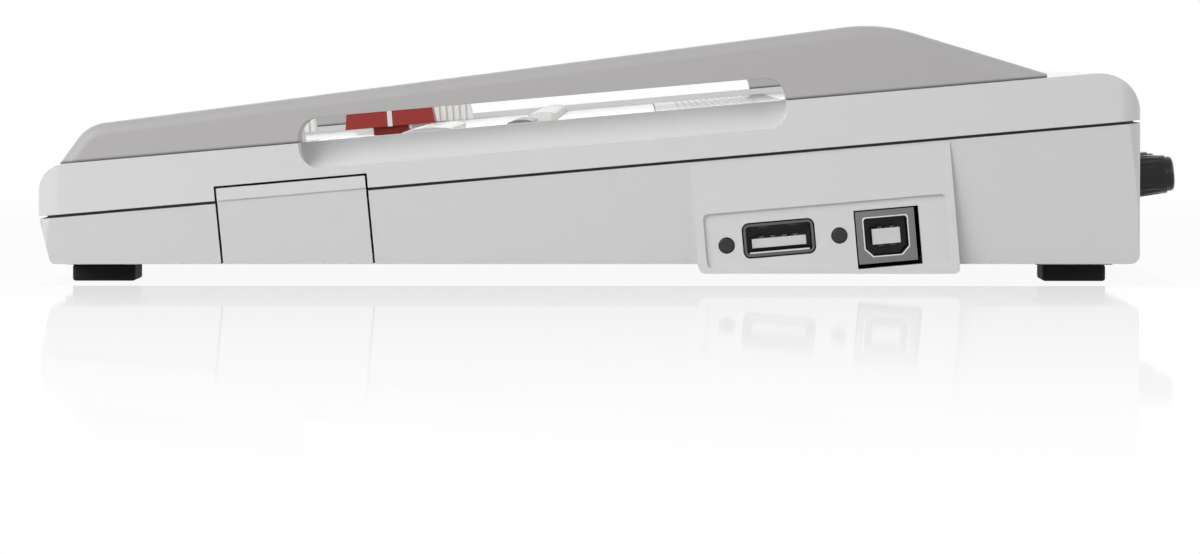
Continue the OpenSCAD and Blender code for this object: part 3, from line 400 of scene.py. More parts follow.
def plastic(name, tint, rough, grain=2600.0, depth=0.02 * MM, drift=0.03, smear=0.08, film=0.04,
            coat=0.0, seam_level=0.0, shine=0.5):
    """Moulded or painted plastic, made once for each name."""
    made = bpy.data.materials.get(name)
    if made:
        return made
    made, tree, shader = bare_material(name)
    body = use(tree, "Moulded grain", Color=(*tint, 1), Grain_scale=grain, Drift=drift)
    dusted = use(tree, "Dust", Color=body.outputs["Color"], Amount=film)
    # Painted shade: an optional dark band at the sloped seat, for the shadow in the gap under a rail
    if seam_level:
        dusted = use(tree, "Seam", Color=dusted.outputs["Color"], Level=seam_level)
    tree.links.new(dusted.outputs["Color"], shader.inputs["Base Color"])
    touched = use(tree, "Handling", Roughness=rough, Amount=smear)
    tree.links.new(touched.outputs["Roughness"], shader.inputs["Roughness"])
    shader.inputs["Specular IOR Level"].default_value = shine
    shader.inputs["Coat Weight"].default_value = coat
    shader.inputs["Coat Roughness"].default_value = 0.08
    bump(tree, shader, body.outputs["Height"], 0.35, depth)
    return made


def ink(name, tint, rough, film=0.04):
    """Printing ink."""
    return plastic(name, tint, rough, grain=5200.0, depth=0.003 * MM, film=film)


def metal(name, tint, rough):
    """Plated, stamped or turned metal, made once for each name."""
    made = bpy.data.materials.get(name)
    if made:
        return made
    made, tree, shader = bare_material(name)
    drawn = use(tree, "Brushed", Color=(*tint, 1))
    tree.links.new(drawn.outputs["Color"], shader.inputs["Base Color"])
    touched = use(tree, "Handling", Roughness=rough, Amount=0.14)
    tree.links.new(touched.outputs["Roughness"], shader.inputs["Roughness"])
    shader.inputs["Metallic"].default_value = 1.0
    bump(tree, shader, drawn.outputs["Height"], 0.25, 0.006 * MM)
    return made


def box(places):
    """Lowest and highest corner of some places, in millimetres."""
    places = list(places)
    return tuple(Vector(end(p[i] for p in places) for i in range(3)) / MM for end in (min, max))


def slope_box(name):
    """Lowest and highest corner of a CAD node in millimetres, along the sloped top."""
    back = SLOPED.inverted()
    return box(back @ v.co for v in NODES[name].data.vertices)


def slope_middle(name):
    """Middle of a CAD node in millimetres, along the sloped top."""
    low, high = slope_box(name)
    return (low + high) / 2


def search_tree(name):
    """A CAD node's faces, ready for rays."""
    mesh = NODES[name].data
    return BVHTree.FromPolygons([v.co for v in mesh.vertices], [tuple(p.vertices) for p in mesh.polygons])


def smooth_shading():
    """Geometry nodes that shade smooth up to an angle and keep sharper edges crisp."""
    name = "Smooth up to an angle"
    tree = bpy.data.node_groups.get(name)
    if tree:
        return tree
    tree = bpy.data.node_groups.new(name, "GeometryNodeTree")
    tree.interface.new_socket("Geometry", in_out="INPUT", socket_type="NodeSocketGeometry")
    tree.interface.new_socket("Geometry", in_out="OUTPUT", socket_type="NodeSocketGeometry")
    start, end = place(tree, "NodeGroupInput"), place(tree, "NodeGroupOutput")
    angle = place(tree, "GeometryNodeInputMeshEdgeAngle")
    test = place(tree, "FunctionNodeCompare", data_type="FLOAT", operation="LESS_EQUAL")
    test.inputs["B"].default_value = SMOOTH_ANGLE
    tree.links.new(angle.outputs["Unsigned Angle"], test.inputs["A"])
    faces = place(tree, "GeometryNodeSetShadeSmooth", domain="FACE")
    edges = place(tree, "GeometryNodeSetShadeSmooth", domain="EDGE")
    tree.links.new(start.outputs[0], faces.inputs["Geometry"])
    tree.links.new(faces.outputs["Geometry"], edges.inputs["Geometry"])
    tree.links.new(test.outputs["Result"], edges.inputs["Shade Smooth"])
    tree.links.new(edges.outputs["Geometry"], end.inputs[0])
    return tree


def shade(obj, edge, limit):
    """Joins split corners, rounds edges sharper than a limit in degrees, and shades smooth."""
    weld = obj.modifiers.new("Weld", "WELD")
    weld.merge_threshold = WELD_REACH
    if edge:
        flats = obj.modifiers.new("Flats", "DECIMATE")
        flats.decimate_type = "DISSOLVE"
        flats.angle_limit = FLAT_ANGLE
        flats.delimit = {"MATERIAL"}
        rounded = obj.modifiers.new("Edges", "BEVEL")
        rounded.width = edge
        rounded.segments = EDGE_SEGMENTS
        rounded.limit_method = "ANGLE"
        rounded.angle_limit = math.radians(limit)
        rounded.use_clamp_overlap = True
        rounded.loop_slide = False
    smooth = obj.modifiers.new("Smooth", "NODES")
    smooth.node_group = smooth_shading()
    if edge:
        even = obj.modifiers.new("Even flats", "WEIGHTED_NORMAL")
        even.keep_sharp = True


def dress(names, finish, edge=0.0, limit=40.0):
    """Gives CAD nodes their finish and their small edge radius."""
    for name in names:
        obj = NODES[name]
        obj.data.materials.clear()
        obj.data.materials.append(finish)
        shade(obj, edge, limit)


def dark_gaps(names, around, finish):
    """Painted shade: gives a dark second finish to faces that look at a wall close by, and to the lip in
    the parting line, for the shade that falls in these gaps.
    """
    close, clear = 8 * MM, 0.002 * MM
    trees = [search_tree(name) for name in (*names, *around)]
    back = SLOPED.inverted()
    for name in names:
        mesh = NODES[name].data
        mesh.materials.append(finish)
        for face in mesh.polygons:
            start = face.center + face.normal * clear
            facing = any(tree.ray_cast(start, face.normal, close)[0] is not None for tree in trees)
            level = (back @ face.center).z / MM
            lip = name == "lower_case" and PARTING[0] < level < PARTING[1]
            face.material_index = 1 if facing or lip else 0


def add_piece(name, shape, finish, body):
    """A new piece from a bmesh in metres, riding on a body."""
    bmesh.ops.recalc_face_normals(shape, faces=shape.faces)
    mesh = bpy.data.meshes.new(name)
    shape.to_mesh(mesh)
    shape.free()
    mesh.materials.append(finish)
    obj = bpy.data.objects.new(name, mesh)
    bpy.context.scene.collection.objects.link(obj)
    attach(obj, body)


def prism(shape, outline, low, high, to_world):
    """A closed prism in a bmesh: an outline in millimetres between two heights, or height functions."""
    def ring(level):
        return [shape.verts.new(to_world @ (Vector((x, y, level(x, y) if callable(level) else level)) * MM))
                for x, y in outline]

    below, above = ring(low), ring(high)
    shape.faces.new(below[::-1])
    shape.faces.new(above)
    count = len(outline)
    for i in range(count):
        shape.faces.new((below[i], below[(i + 1) % count], above[(i + 1) % count], above[i]))


def frame_strip(shape, outer, inner, low, high, to_world):
    """A closed flat frame in a bmesh, between two outlines with as many points."""
    rings = [[shape.verts.new(to_world @ (Vector((x, y, z)) * MM)) for x, y in outline]
             for outline, z in ((outer, low), (inner, low), (inner, high), (outer, high))]
    count = len(outer)
    for a, b in zip(rings, rings[1:] + rings[:1]):
        for i in range(count):
            shape.faces.new((a[i], a[(i + 1) % count], b[(i + 1) % count], b[i]))


def disc(radius, count):
    """Outline of a round mark about the origin."""
    turn = 2 * math.pi / count
    return [(radius * math.cos(i * turn), radius * math.sin(i * turn)) for i in range(count)]


def triangle(x, back, tip, half):
    """Outline of a triangle that points along X, from its back to its tip."""
    outline = [(x + back, -half), (x + tip, 0.0), (x + back, half)]
    return outline if tip > back else outline[::-1]


def rectangle(x, y, width, depth):
    """Outline of a rectangle about a point."""
    return [(x + i * width / 2, y + j * depth / 2) for i, j in ((-1, -1), (1, -1), (1, 1), (-1, 1))]


def digits(shape, text, x, y, height, base, thick, to_world):
    """Printed figures about a point, as thin raised solids, in millimetres."""
    curve = bpy.data.curves.new("figures", "FONT")
    curve.body = text
    curve.align_x = "CENTER"
    curve.align_y = "CENTER"
    curve.size = height / FIGURE_SHARE
    curve.extrude = thick / 2
    curve.resolution_u = FIGURE_STEPS
    holder = bpy.data.objects.new("figures", curve)
    bpy.context.scene.collection.objects.link(holder)
    mesh = bpy.data.meshes.new_from_object(holder.evaluated_get(bpy.context.evaluated_depsgraph_get()))
    mesh.transform(to_world @ Matrix.Scale(MM, 4) @ Matrix.Translation((x, y, base + thick / 2)))
    shape.from_mesh(mesh)
    bpy.data.objects.remove(holder)
    bpy.data.curves.remove(curve)
    bpy.data.meshes.remove(mesh)


class LooksOperator:
    """What all the operators here share. Sizes in them are millimetres, or metres where MM is a factor."""

    bl_options = {"REGISTER", "UNDO"}

    @property
    def tints(self):
        return settings().colours

    @property
    def sizes(self):
        return settings().sizes

    @property
    def print_thickness(self):
        """Thickness of a printed mark in millimetres."""
        return self.sizes.print_height / MM

    def light_keys(self):
        return plastic("key plastic", self.tints.key_light, 0.4)

    def grey_keys(self):
        return plastic("grey key plastic", self.tints.key_grey, 0.42)

    def white_inlay(self):
        return plastic("white inlay", self.tints.white_inlay, 0.4)

    # Dark inlay for the fader lines, also the painted shade in the screws' cross recesses
    def dark_inlay(self):
        return plastic("dark inlay and recess shade", self.tints.print_dark, 0.45)

    def panel_ink(self):
        return ink("panel ink", self.tints.print_dark, 0.4, film=0.03)

    def finished(self, names):
        """Stops if a node that this step dresses is missing."""
        missing = [n for n in names if n not in NODES]
        if missing:
            raise RuntimeError(f"{self.bl_label}: no such part in the frame: {missing}")
        return {"FINISHED"}


class RECORDER_OT_shells(LooksOperator, bpy.types.Operator):
    """Finish the two case halves and their doors"""

    bl_idname = "recorder.shells"
    bl_label = "Case halves"
    # Shares of the shell edge, and where a hollow lies along the slope, square to it and off the middle
    upper_share, door_share = 1.6, 0.5
    hollow_v, hollow_w, hollow_x = (-64.7, 37.1), (-5.8, 0.1), 173.5
    openings = ("usb_host_port", "usb_device_port", "port_leds", "input_jacks", "line_jacks", "power_inlet",
                "power_slider", "screws")

    def hollows(self, finish):
        """Painted light: a lighter, smoother finish in the hollows under the finger slots, but not on the
        outer wall, standing in for the light that the rail's shadow takes from them.
        """
        back = SLOPED.inverted()
        mesh = NODES["upper_case"].data
        mesh.materials.append(finish)
        (front, rear), (bottom, top) = self.hollow_v, self.hollow_w
        for face in mesh.polygons:
            x, v, w = back @ face.center / MM
            in_hollow = front < v < rear and bottom < w < top and abs(x) > self.hollow_x
            if in_hollow and abs(face.normal.x) < FACING:
                face.material_index = len(mesh.materials) - 1

    def execute(self, context):
        doors = ["card_door", "battery_door"]
        done = self.finished(["upper_case", "lower_case", *doors])
        upper = plastic("upper shell paint", self.tints.upper_shell, 0.42, film=0.03)
        lower = plastic("lower shell paint", self.tints.lower_shell, 0.45, film=0.03)
        dress(["upper_case"], upper, self.sizes.shell_edge * self.upper_share)
        dress(["lower_case"], lower, self.sizes.shell_edge)
        dress(doors, lower, self.sizes.shell_edge * self.door_share)
        # Painted shade for the faces in the gaps of the case and the lip in the parting line
        inside = plastic("gap painted shade", self.tints.gap, 0.6, film=0.0)
        dark_gaps(["upper_case", "lower_case", *doors], self.openings, inside)
        # The finger hollows get their painted light
        self.hollows(plastic("hollow painted light", self.tints.hollow, 0.36, film=0.0))
        return done


class RECORDER_OT_rails(LooksOperator, bpy.types.Operator):
    """Finish the two side rails"""

    bl_idname = "recorder.rails"
    bl_label = "Side rails"
    edge_share = 0.6
    edge_limit = 50
    # Reach of the rails' painted shade band at the seat, for the shadow in the gap under them
    seam_level = 0.7 * MM

    def execute(self, context):
        done = self.finished(["rail_left", "rail_right"])
        paint = plastic("rail paint", self.tints.rail, 0.42, grain=3200.0, drift=0.02, film=0.05,
                        seam_level=self.seam_level, shine=0.35)
        dress(["rail_left", "rail_right"], paint, self.sizes.shell_edge * self.edge_share, self.edge_limit)
        return done


class RECORDER_OT_panel(LooksOperator, bpy.types.Operator):
    """Finish the top panel and print its numbers and fader scales"""

    bl_idname = "recorder.panel"
    bl_label = "Top panel"
    fader_v = -63.5
    ticks, long_ticks = 11, (0, 7, 10)
    scale_half = 22.5
    tick_start, short_tick, long_tick = 3.2, 2.2, 3.6
    number_drop = 14
    key_line, key_line_drop = (15, 0.4), 6.2

    def scale(self, marks, x, low, high):
        """The ticks on both sides of a fader's slot."""
        for i in range(self.ticks):
            v = self.fader_v + self.scale_half * (2 * i / (self.ticks - 1) - 1)
            reach = self.long_tick if i in self.long_ticks else self.short_tick
            for side in (-1, 1):
                middle = x + side * (self.tick_start + reach / 2)
                prism(marks, rectangle(middle, v, reach, self.sizes.tick_width / MM), low, high, SLOPED)

    def execute(self, context):
        done = self.finished(["top_panel", "master_fader", *FADERS, *TRACK_KEYS])
        face = plastic("panel gloss", self.tints.panel, 0.26, grain=5200.0, depth=0.004 * MM, drift=0.012,
                       smear=0.03, film=0.0, coat=0.1)
        dress(["top_panel"], face)
        thick = self.print_thickness
        low, high = PANEL_TOP - thick, PANEL_TOP + thick
        marks = bmesh.new()
        for name in (*FADERS, "master_fader"):
            self.scale(marks, slope_middle(name).x, low, high)
        number_v = self.fader_v - self.scale_half - self.number_drop
        for i, name in enumerate(TRACK_KEYS, 1):
            middle = slope_middle(name)
            digits(marks, str(i), middle.x, number_v, self.sizes.digit_height / MM, low, 2 * thick, SLOPED)
            line = rectangle(middle.x, middle.y - self.key_line_drop, *self.key_line)
            prism(marks, line, low, high, SLOPED)
        add_piece("panel_print", marks, self.panel_ink(), ROOT)
        return done


class RECORDER_OT_faders(LooksOperator, bpy.types.Operator):
    """Finish the fader caps and inlay their centre lines"""

    bl_idname = "recorder.faders"
    bl_label = "Faders"
    edge_share = 0.6
    line_half, line_proud, line_depth = 0.55, 0.05, 0.4
    line_bottom = PANEL_TOP + 2.1
    lean = 1.2

    def line(self, name, finish, slot_name):
        """A band over the crown and down both sides of a cap, along its middle."""
        low, high = slope_box(name)
        middle = (low + high) / 2
        half = (high.x - low.x) / 2

        def section(grow):
            """Half widths and heights from the right foot over the crown to the left foot."""
            foot, crown, top = half + grow, half - self.lean + grow, high.z + grow
            return [(foot, self.line_bottom), (crown, top), (-crown, top), (-foot, self.line_bottom)]

        band = bmesh.new()
        rings = []
        for v in (middle.y - self.line_half, middle.y + self.line_half):
            rings.append([[band.verts.new(SLOPED @ (Vector((middle.x + x, v, w)) * MM)) for x, w in loop]
                          for loop in (section(self.line_proud), section(-self.line_depth))])
        (front_outer, front_inner), (rear_outer, rear_inner) = rings
        strips = ((front_outer, rear_outer), (front_inner, rear_inner),
                  (front_outer, front_inner), (rear_outer, rear_inner))
        for i in range(len(front_outer) - 1):
            for a, b in strips:
                band.faces.new((a[i], a[i + 1], b[i + 1], b[i]))
        for i in (0, -1):
            band.faces.new((front_outer[i], rear_outer[i], rear_inner[i], front_inner[i]))
        add_piece(f"{name}_line", band, finish, name)

    def execute(self, context):
        done = self.finished([*FADERS, "master_fader"])
        light = plastic("channel cap plastic", self.tints.cap_light, 0.4)
        red = plastic("master cap plastic", self.tints.cap_red, 0.38, drift=0.04, shine=0.25)
        dress(FADERS, light, self.sizes.key_edge * self.edge_share)
        dress(["master_fader"], red, self.sizes.key_edge * self.edge_share)
        for name in FADERS:
            self.line(name, self.dark_inlay(), "fader_white")
        self.line("master_fader", self.white_inlay(), "fader_red")
        return done


class RECORDER_OT_keys(LooksOperator, bpy.types.Operator):
    """Finish the keys and print the transport signs"""

    bl_idname = "recorder.keys"
    bl_label = "Keys"
    flange, crown_rise = 1.0, 0.6
    fine_step = 0.5
    arrow_back, arrow_tip, arrow_half, arrow_gap = 1.3, 1.5, 1.7, 1.4
    play_back, play_tip, play_half = 1.6, 2.0, 2.0
    stop_side = 3.4
    record_radius, record_points = 1.9, 28

    def crown(self, name):
        """A function that gives the height of a key's crowned top at a point along the slope."""
        low, high = slope_box(name)
        depth = high.y - low.y - 2 * self.flange
        radius = depth * depth / (8 * self.crown_rise) + self.crown_rise / 2
        middle = (low.y + high.y) / 2
        return lambda x, v: high.z - radius + math.sqrt(radius * radius - (v - middle) ** 2)

    def sign(self, name, outlines, finish, slot_name):
        """A printed sign that follows the crown of its key, with points close enough to bend."""
        top = self.crown(name)
        thick = self.print_thickness
        mark = bmesh.new()
        middle = slope_middle(name)
        for outline in outlines:
            fine = []
            for (x0, y0), (x1, y1) in zip(outline, outline[1:] + outline[:1]):
                steps = max(1, round(math.hypot(x1 - x0, y1 - y0) / self.fine_step))
                fine += [(x0 + (x1 - x0) * i / steps, y0 + (y1 - y0) * i / steps) for i in range(steps)]
            moved = [(middle.x + x, middle.y + y) for x, y in fine]
            prism(mark, moved, lambda x, v: top(x, v) - thick, lambda x, v: top(x, v) + thick, SLOPED)
        bmesh.ops.triangulate(mark, faces=[f for f in mark.faces if len(f.verts) > 4])
        add_piece(f"{name}_sign", mark, finish, name)

    def arrows(self, way):
        """Two arrowheads, to the right for 1 and to the left for -1."""
        return [triangle(x, -way * self.arrow_back, way * self.arrow_tip, self.arrow_half)
                for x in (-way * self.arrow_gap, way * self.arrow_gap)]

    def execute(self, context):
        done = self.finished([*TRANSPORT, *MENU_KEYS, *TRACK_KEYS])
        dress([*TRANSPORT, *TRACK_KEYS], self.light_keys(), self.sizes.key_edge)
        dress(MENU_KEYS, self.grey_keys(), self.sizes.key_edge)
        dark = ink("key ink", self.tints.print_dark, 0.45)
        red = ink("record ink", self.tints.record_ink, 0.4)
        signs = {
            "rewind_key": self.arrows(-1),
            "forward_key": self.arrows(1),
            "stop_key": [rectangle(0, 0, self.stop_side, self.stop_side)],
            "play_key": [triangle(0, -self.play_back, self.play_tip, self.play_half)],
            "record_key": [disc(self.record_radius, self.record_points)],
        }
        for name, outlines in signs.items():
            self.sign(name, outlines, red if name == "record_key" else dark, "key_white")
        return done


class RECORDER_OT_dial(LooksOperator, bpy.types.Operator):
    """Finish the jog dial and the cursor pad"""

    bl_idname = "recorder.dial"
    bl_label = "Dial and pad"

    def execute(self, context):
        done = self.finished(["jog_dial", "cursor_pad"])
        dress(["jog_dial"], self.light_keys())
        dress(["cursor_pad"], self.grey_keys())
        return done


class RECORDER_OT_windows(LooksOperator, bpy.types.Operator):
    """Finish the display and the level meter"""

    bl_idname = "recorder.windows"
    bl_label = "Display and meter"
    pane_size, pane_drop, pane_sink, pane_rise = (72, 30), 0.3, 0.1, 0.06
    segments, amber_from = 12, 9
    margin_v, margin_x = 5, 8
    segment_width, segment_share = 3.6, 0.55
    segment_sink, segment_rise = 0.05, 0.03
    pair_half = 2.4

    def display(self):
        """The glass of the display, in the floor of its window."""
        glass = plastic("display glass", self.tints.display_glass, 0.16, grain=6000.0, depth=0.002 * MM,
                        coat=0.5)
        dress(["display_module"], glass)
        low, high = slope_box("display_window")
        middle = (low + high) / 2
        floor_w = high.z - self.pane_drop
        pane = bmesh.new()
        prism(pane, rectangle(middle.x, middle.y, *self.pane_size),
              floor_w - self.pane_sink, floor_w + self.pane_rise, SLOPED)
        add_piece("display_pane", pane, glass, ROOT)

    def meter(self):
        """Unlit segments in a row behind each fader in line with the window, and two for the master."""
        low, high = slope_box("meter_window")
        front = low.y + self.margin_v
        pitch = (high.y - low.y - 2 * self.margin_v) / self.segments
        parts = {tone: bmesh.new() for tone in ("green", "amber", "red")}
        for fader in (*FADERS, "master_fader"):
            x = slope_middle(fader).x
            if not low.x + self.margin_x < x < high.x - self.margin_x:
                continue
            for i in range(self.segments):
                tone = "red" if i == self.segments - 1 else "amber" if i >= self.amber_from else "green"
                for side in ((-self.pair_half, self.pair_half) if fader == "master_fader" else (0,)):
                    outline = rectangle(x + side, front + (i + 0.5) * pitch,
                                        self.segment_width, pitch * self.segment_share)
                    prism(parts[tone], outline,
                          high.z - self.segment_sink, high.z + self.segment_rise, SLOPED)
        for tone, shape in parts.items():
            finish = plastic(f"meter {tone}", getattr(self.tints, f"meter_{tone}"), 0.3)
            add_piece(f"meter_{tone}", shape, finish, ROOT)

    def execute(self, context):
        done = self.finished(["display_window", "display_module", "meter_window"])
        dark = plastic("window acrylic", self.tints.window, 0.16, grain=6000.0, depth=0.002 * MM,
                       drift=0.05, smear=0.07, film=0.03, shine=0.35)
        dress(["display_window", "meter_window"], dark, self.sizes.key_edge)
        self.display()
        self.meter()
        return done


class RECORDER_OT_ports(LooksOperator, bpy.types.Operator):
    """Finish the data ports with their contacts, their lamps and the card socket"""

    bl_idname = "recorder.ports"
    bl_label = "Ports and card"
    host = {"middle": (32.8, -28.26), "mouth": (13.5, 5.8), "tongue": (11.2, 1.9), "drop": 0.7}
    device = {"middle": (55.0, -29.7), "mouth": (9.0, 7.9), "tongue": (5.8, 3.2), "drop": 0.0}
    near = 0.02
    # Each contact's place along and above the tongue's middle, its width and its height
    host_blades = [(along, 1.2, 1.1, 0.5) for along in (-3.5, -1.2, 1.2, 3.5)]
    host_springs = [(along, 3.35, 1.8, 0.4) for along in (-3.1, 3.1)]
    host_lip = [(0, -1.95, 12.4, 0.32)]
    device_blades = [(along, up, 1.0, 0.4) for along in (-1.25, 1.25) for up in (-1.8, 1.8)]
    blade_back, blade_front = 7, 1.2
    rim_cut, rim_corner, rim_width = 1.6, 0.35, 0.24
    rim_sink, rim_proud = 0.4, 0.12
    lamp_edge = 0.25 * MM

    def inlay(self, name, port, finishes):
        """Sorts a port's faces into shell, inside and tongue, and returns how far out its front is. The
        inside faces take a dark finish as painted shade for the depth of the mouth.
        """
        back = SLOPED.inverted()
        mesh = NODES[name].data
        for finish in finishes:
            mesh.materials.append(finish)
        (v, w), (long, high), (wide, thick) = port["middle"], port["mouth"], port["tongue"]
        front = max(p.co.x for p in mesh.vertices) / MM
        for face in mesh.polygons:
            at = back @ face.center / MM
            on_front = at.x > front - self.near and face.normal.x > FACING
            along, up, off_tongue = abs(at.y - v), abs(at.z - w), abs(at.z - w + port["drop"])
            in_mouth = along < long / 2 + self.near and up < high / 2 + self.near
            on_tongue = along < wide / 2 + self.near and off_tongue < thick / 2 + self.near
            face.material_index = 0 if on_front or not in_mouth else 2 if on_tongue else 1
        return front

    def contacts(self, name, port, front, places, finish):
        """Contact blades in the mouth of a port."""
        blades = bmesh.new()
        v, w = port["middle"]
        for along, up, wide, high in places:
            prism(blades, rectangle(v + along, w - port["drop"] + up, wide, high),
                  front - self.blade_back, front - self.blade_front, SIDE)
        add_piece(name, blades, finish, ROOT)

    def rim(self, front, finish):
        """Bright rolled edge round the mouth of the device socket."""
        v, w = self.device["middle"]
        x, y = (size / 2 for size in self.device["mouth"])
        cut, small = self.rim_cut, self.rim_corner
        corners = [(-x, -y + cut), (-x + cut, -y), (x - cut, -y), (x, -y + cut),
                   (x, y - small), (x - small, y), (-x + small, y), (-x, y - small)]
        inner = [(v + p, w + q) for p, q in corners]
        outer = [(v + p * (1 + self.rim_width / x), w + q * (1 + self.rim_width / y)) for p, q in corners]
        edge = bmesh.new()
        frame_strip(edge, outer, inner, front - self.rim_sink, front + self.rim_proud, SIDE)
        add_piece("device_port_rim", edge, finish, ROOT)

    def execute(self, context):
        done = self.finished(["usb_host_port", "usb_device_port", "port_leds", "card_socket"])
        nickel = metal("port nickel", self.tints.port_shell, 0.24)
        # Painted shade for the faces deep in the ports' mouths
        inside = plastic("port inside painted shade", self.tints.inside, 0.35, film=0.0)
        tongue = plastic("port tongue", self.tints.port_tongue, 0.45, film=0.0)
        blade = metal("contact blades", self.tints.port_blade, 0.4)
        dress(["card_socket"], nickel)
        # Painted reflection: the host port's shell is darkened for the dark surroundings that the nickel
        # reflects
        dress(["usb_host_port"], metal("host port painted dark reflection", self.tints.host_shell, 0.3))
        dress(["usb_device_port"], metal("device port steel", self.tints.device_shell, 0.34))
        front = self.inlay("usb_host_port", self.host, (inside, tongue))
        self.contacts("host_port_contacts", self.host, front, self.host_blades, blade)
        # The springs deep in the host port take the same painted shade
        self.contacts("host_port_springs", self.host, front, self.host_springs, inside)
        self.contacts("host_port_lip", self.host, front, self.host_lip, nickel)
        front = self.inlay("usb_device_port", self.device, (inside, tongue))
        self.contacts("device_port_contacts", self.device, front, self.device_blades, blade)
        self.rim(front, metal("rolled rim", self.tints.port_rim, 0.26))
        lamp = plastic("lamp tint", self.tints.lamp, 0.24, drift=0.05, film=0.0, shine=0.4)
        dress(["port_leds"], lamp, self.lamp_edge)
        return done


class RECORDER_OT_rear(LooksOperator, bpy.types.Operator):
    """Finish the jacks, the power inlet, its switch and the knobs behind"""

    bl_idname = "recorder.rear"
    bl_label = "Rear wall"
    edge_share = 0.4
    number_height, number_rise = 2.8, 8.2
    pointer_width, pointer_depth, pointer_proud = 0.7, 1.0, 0.04
    pointer_from, pointer_to = 0.4, 2.85

    def numbers(self):
        """Channel numbers on the rear wall, one above each gain knob."""
        wall = search_tree("lower_case")
        thick = self.print_thickness
        marks = bmesh.new()
        for i, name in enumerate(GAIN_KNOBS, 1):
            low, high = box(v.co for v in NODES[name].data.vertices)
            middle = (low + high) / 2 * MM
            behind = Vector((middle.x, 1, middle.z + self.number_rise * MM))
            at, normal, _, _ = wall.ray_cast(behind, Vector((0, -1, 0)))
            onto = Matrix.Translation(at) @ normal.to_track_quat("Z", "Y").to_matrix().to_4x4()
            digits(marks, str(i), 0, 0, self.number_height, -thick, 2 * thick, onto)
        add_piece("rear_numbers", marks, self.panel_ink(), ROOT)

    def pointer(self, name):
        """A white line on the end of a rear knob, from near its middle upward."""
        low, high = slope_box(name)
        middle = (low + high) / 2
        outline = rectangle(middle.x, high.y + (self.pointer_proud - self.pointer_depth) / 2,
                            self.pointer_width, self.pointer_proud + self.pointer_depth)
        mark = bmesh.new()
        prism(mark, outline, middle.z + self.pointer_from, middle.z + self.pointer_to, SLOPED)
        add_piece(f"{name}_pointer", mark, self.white_inlay(), name)

    def execute(self, context):
        knobs = [*GAIN_KNOBS, "phones_knob"]
        done = self.finished([*knobs, "input_jacks", "line_jacks", "power_inlet", "power_slider"])
        black = plastic("jack plastic", self.tints.black_plastic, 0.45, grain=2200.0, depth=0.03 * MM)
        dress(["input_jacks", "line_jacks", "power_inlet", "power_slider"], black)
        knob = plastic("knob plastic", self.tints.knob, 0.28, grain=2400.0, depth=0.01 * MM, film=0.01,
                       shine=0.3)
        dress(knobs, knob, self.sizes.key_edge * self.edge_share)
        for name in knobs:
            self.pointer(name)
        self.numbers()
        return done


class RECORDER_OT_underside(LooksOperator, bpy.types.Operator):
    """Finish the feet, the battery bay and the screws"""

    bl_idname = "recorder.underside"
    bl_label = "Underside"
    foot_edge, screw_edge = 0.5 * MM, 0.2 * MM
    screw_spacing, head_depth = 20 * MM, 0.1 * MM
    recess, recess_proud, recess_depth = (3.0, 0.7), 0.03, 0.3

    def cross_recesses(self):
        """Painted shade: a dark cross in the head of each screw, standing in for the shade in its cross
        recess.
        """
        mesh = NODES["screws"].data
        lowest = min(v.co.z for v in mesh.vertices)
        heads = {}
        for face in mesh.polygons:
            if face.normal.z < -FACING and face.center.z < lowest + self.head_depth:
                cell = tuple(round(c / self.screw_spacing) for c in face.center.xy)
                heads.setdefault(cell, []).extend(mesh.vertices[i].co for i in face.vertices)
        marks = bmesh.new()
        for corners in heads.values():
            low, high = box(corners)
            middle = (low + high) / 2
            for size in (self.recess, self.recess[::-1]):
                prism(marks, rectangle(middle.x, middle.y, *size),
                      lowest / MM - self.recess_proud, lowest / MM + self.recess_depth, Matrix())
        add_piece("screw_recess_shade", marks, self.dark_inlay(), ROOT)

    def execute(self, context):
        done = self.finished(["feet", "battery_contacts", "screws"])
        rubber = plastic("foot rubber", self.tints.rubber, 0.75, grain=1500.0, depth=0.05 * MM, drift=0.12,
                         film=0.04, shine=0.25)
        dress(["feet"], rubber, self.foot_edge)
        dress(["battery_contacts"], metal("contact nickel", self.tints.contact, 0.28))
        dress(["screws"], metal("screw zinc", self.tints.screw, 0.34), self.screw_edge)
        self.cross_recesses()
        return done


class RECORDER_OT_inside(LooksOperator, bpy.types.Operator):
    """Finish the boards and potentiometers inside the case"""

    bl_idname = "recorder.inside"
    bl_label = "Inner parts"

    def execute(self, context):
        done = self.finished(["panel_board", "main_board", "potentiometers"])
        mask = plastic("solder mask", self.tints.board, 0.3, grain=900.0, depth=0.03 * MM, drift=0.25)
        dress(["panel_board", "main_board"], mask)
        dress(["potentiometers"], metal("potentiometer steel", self.tints.control, 0.4))
        return done


def seen_directly(tree):
    """1 for the camera, and for what gloss and glass show of the background."""
    path = place(tree, "ShaderNodeLightPath").outputs
    shown = maths(tree, "MAXIMUM", path["Is Glossy Ray"], path["Is Transmission Ray"])
    return maths(tree, "MAXIMUM", path["Is Camera Ray"], shown)


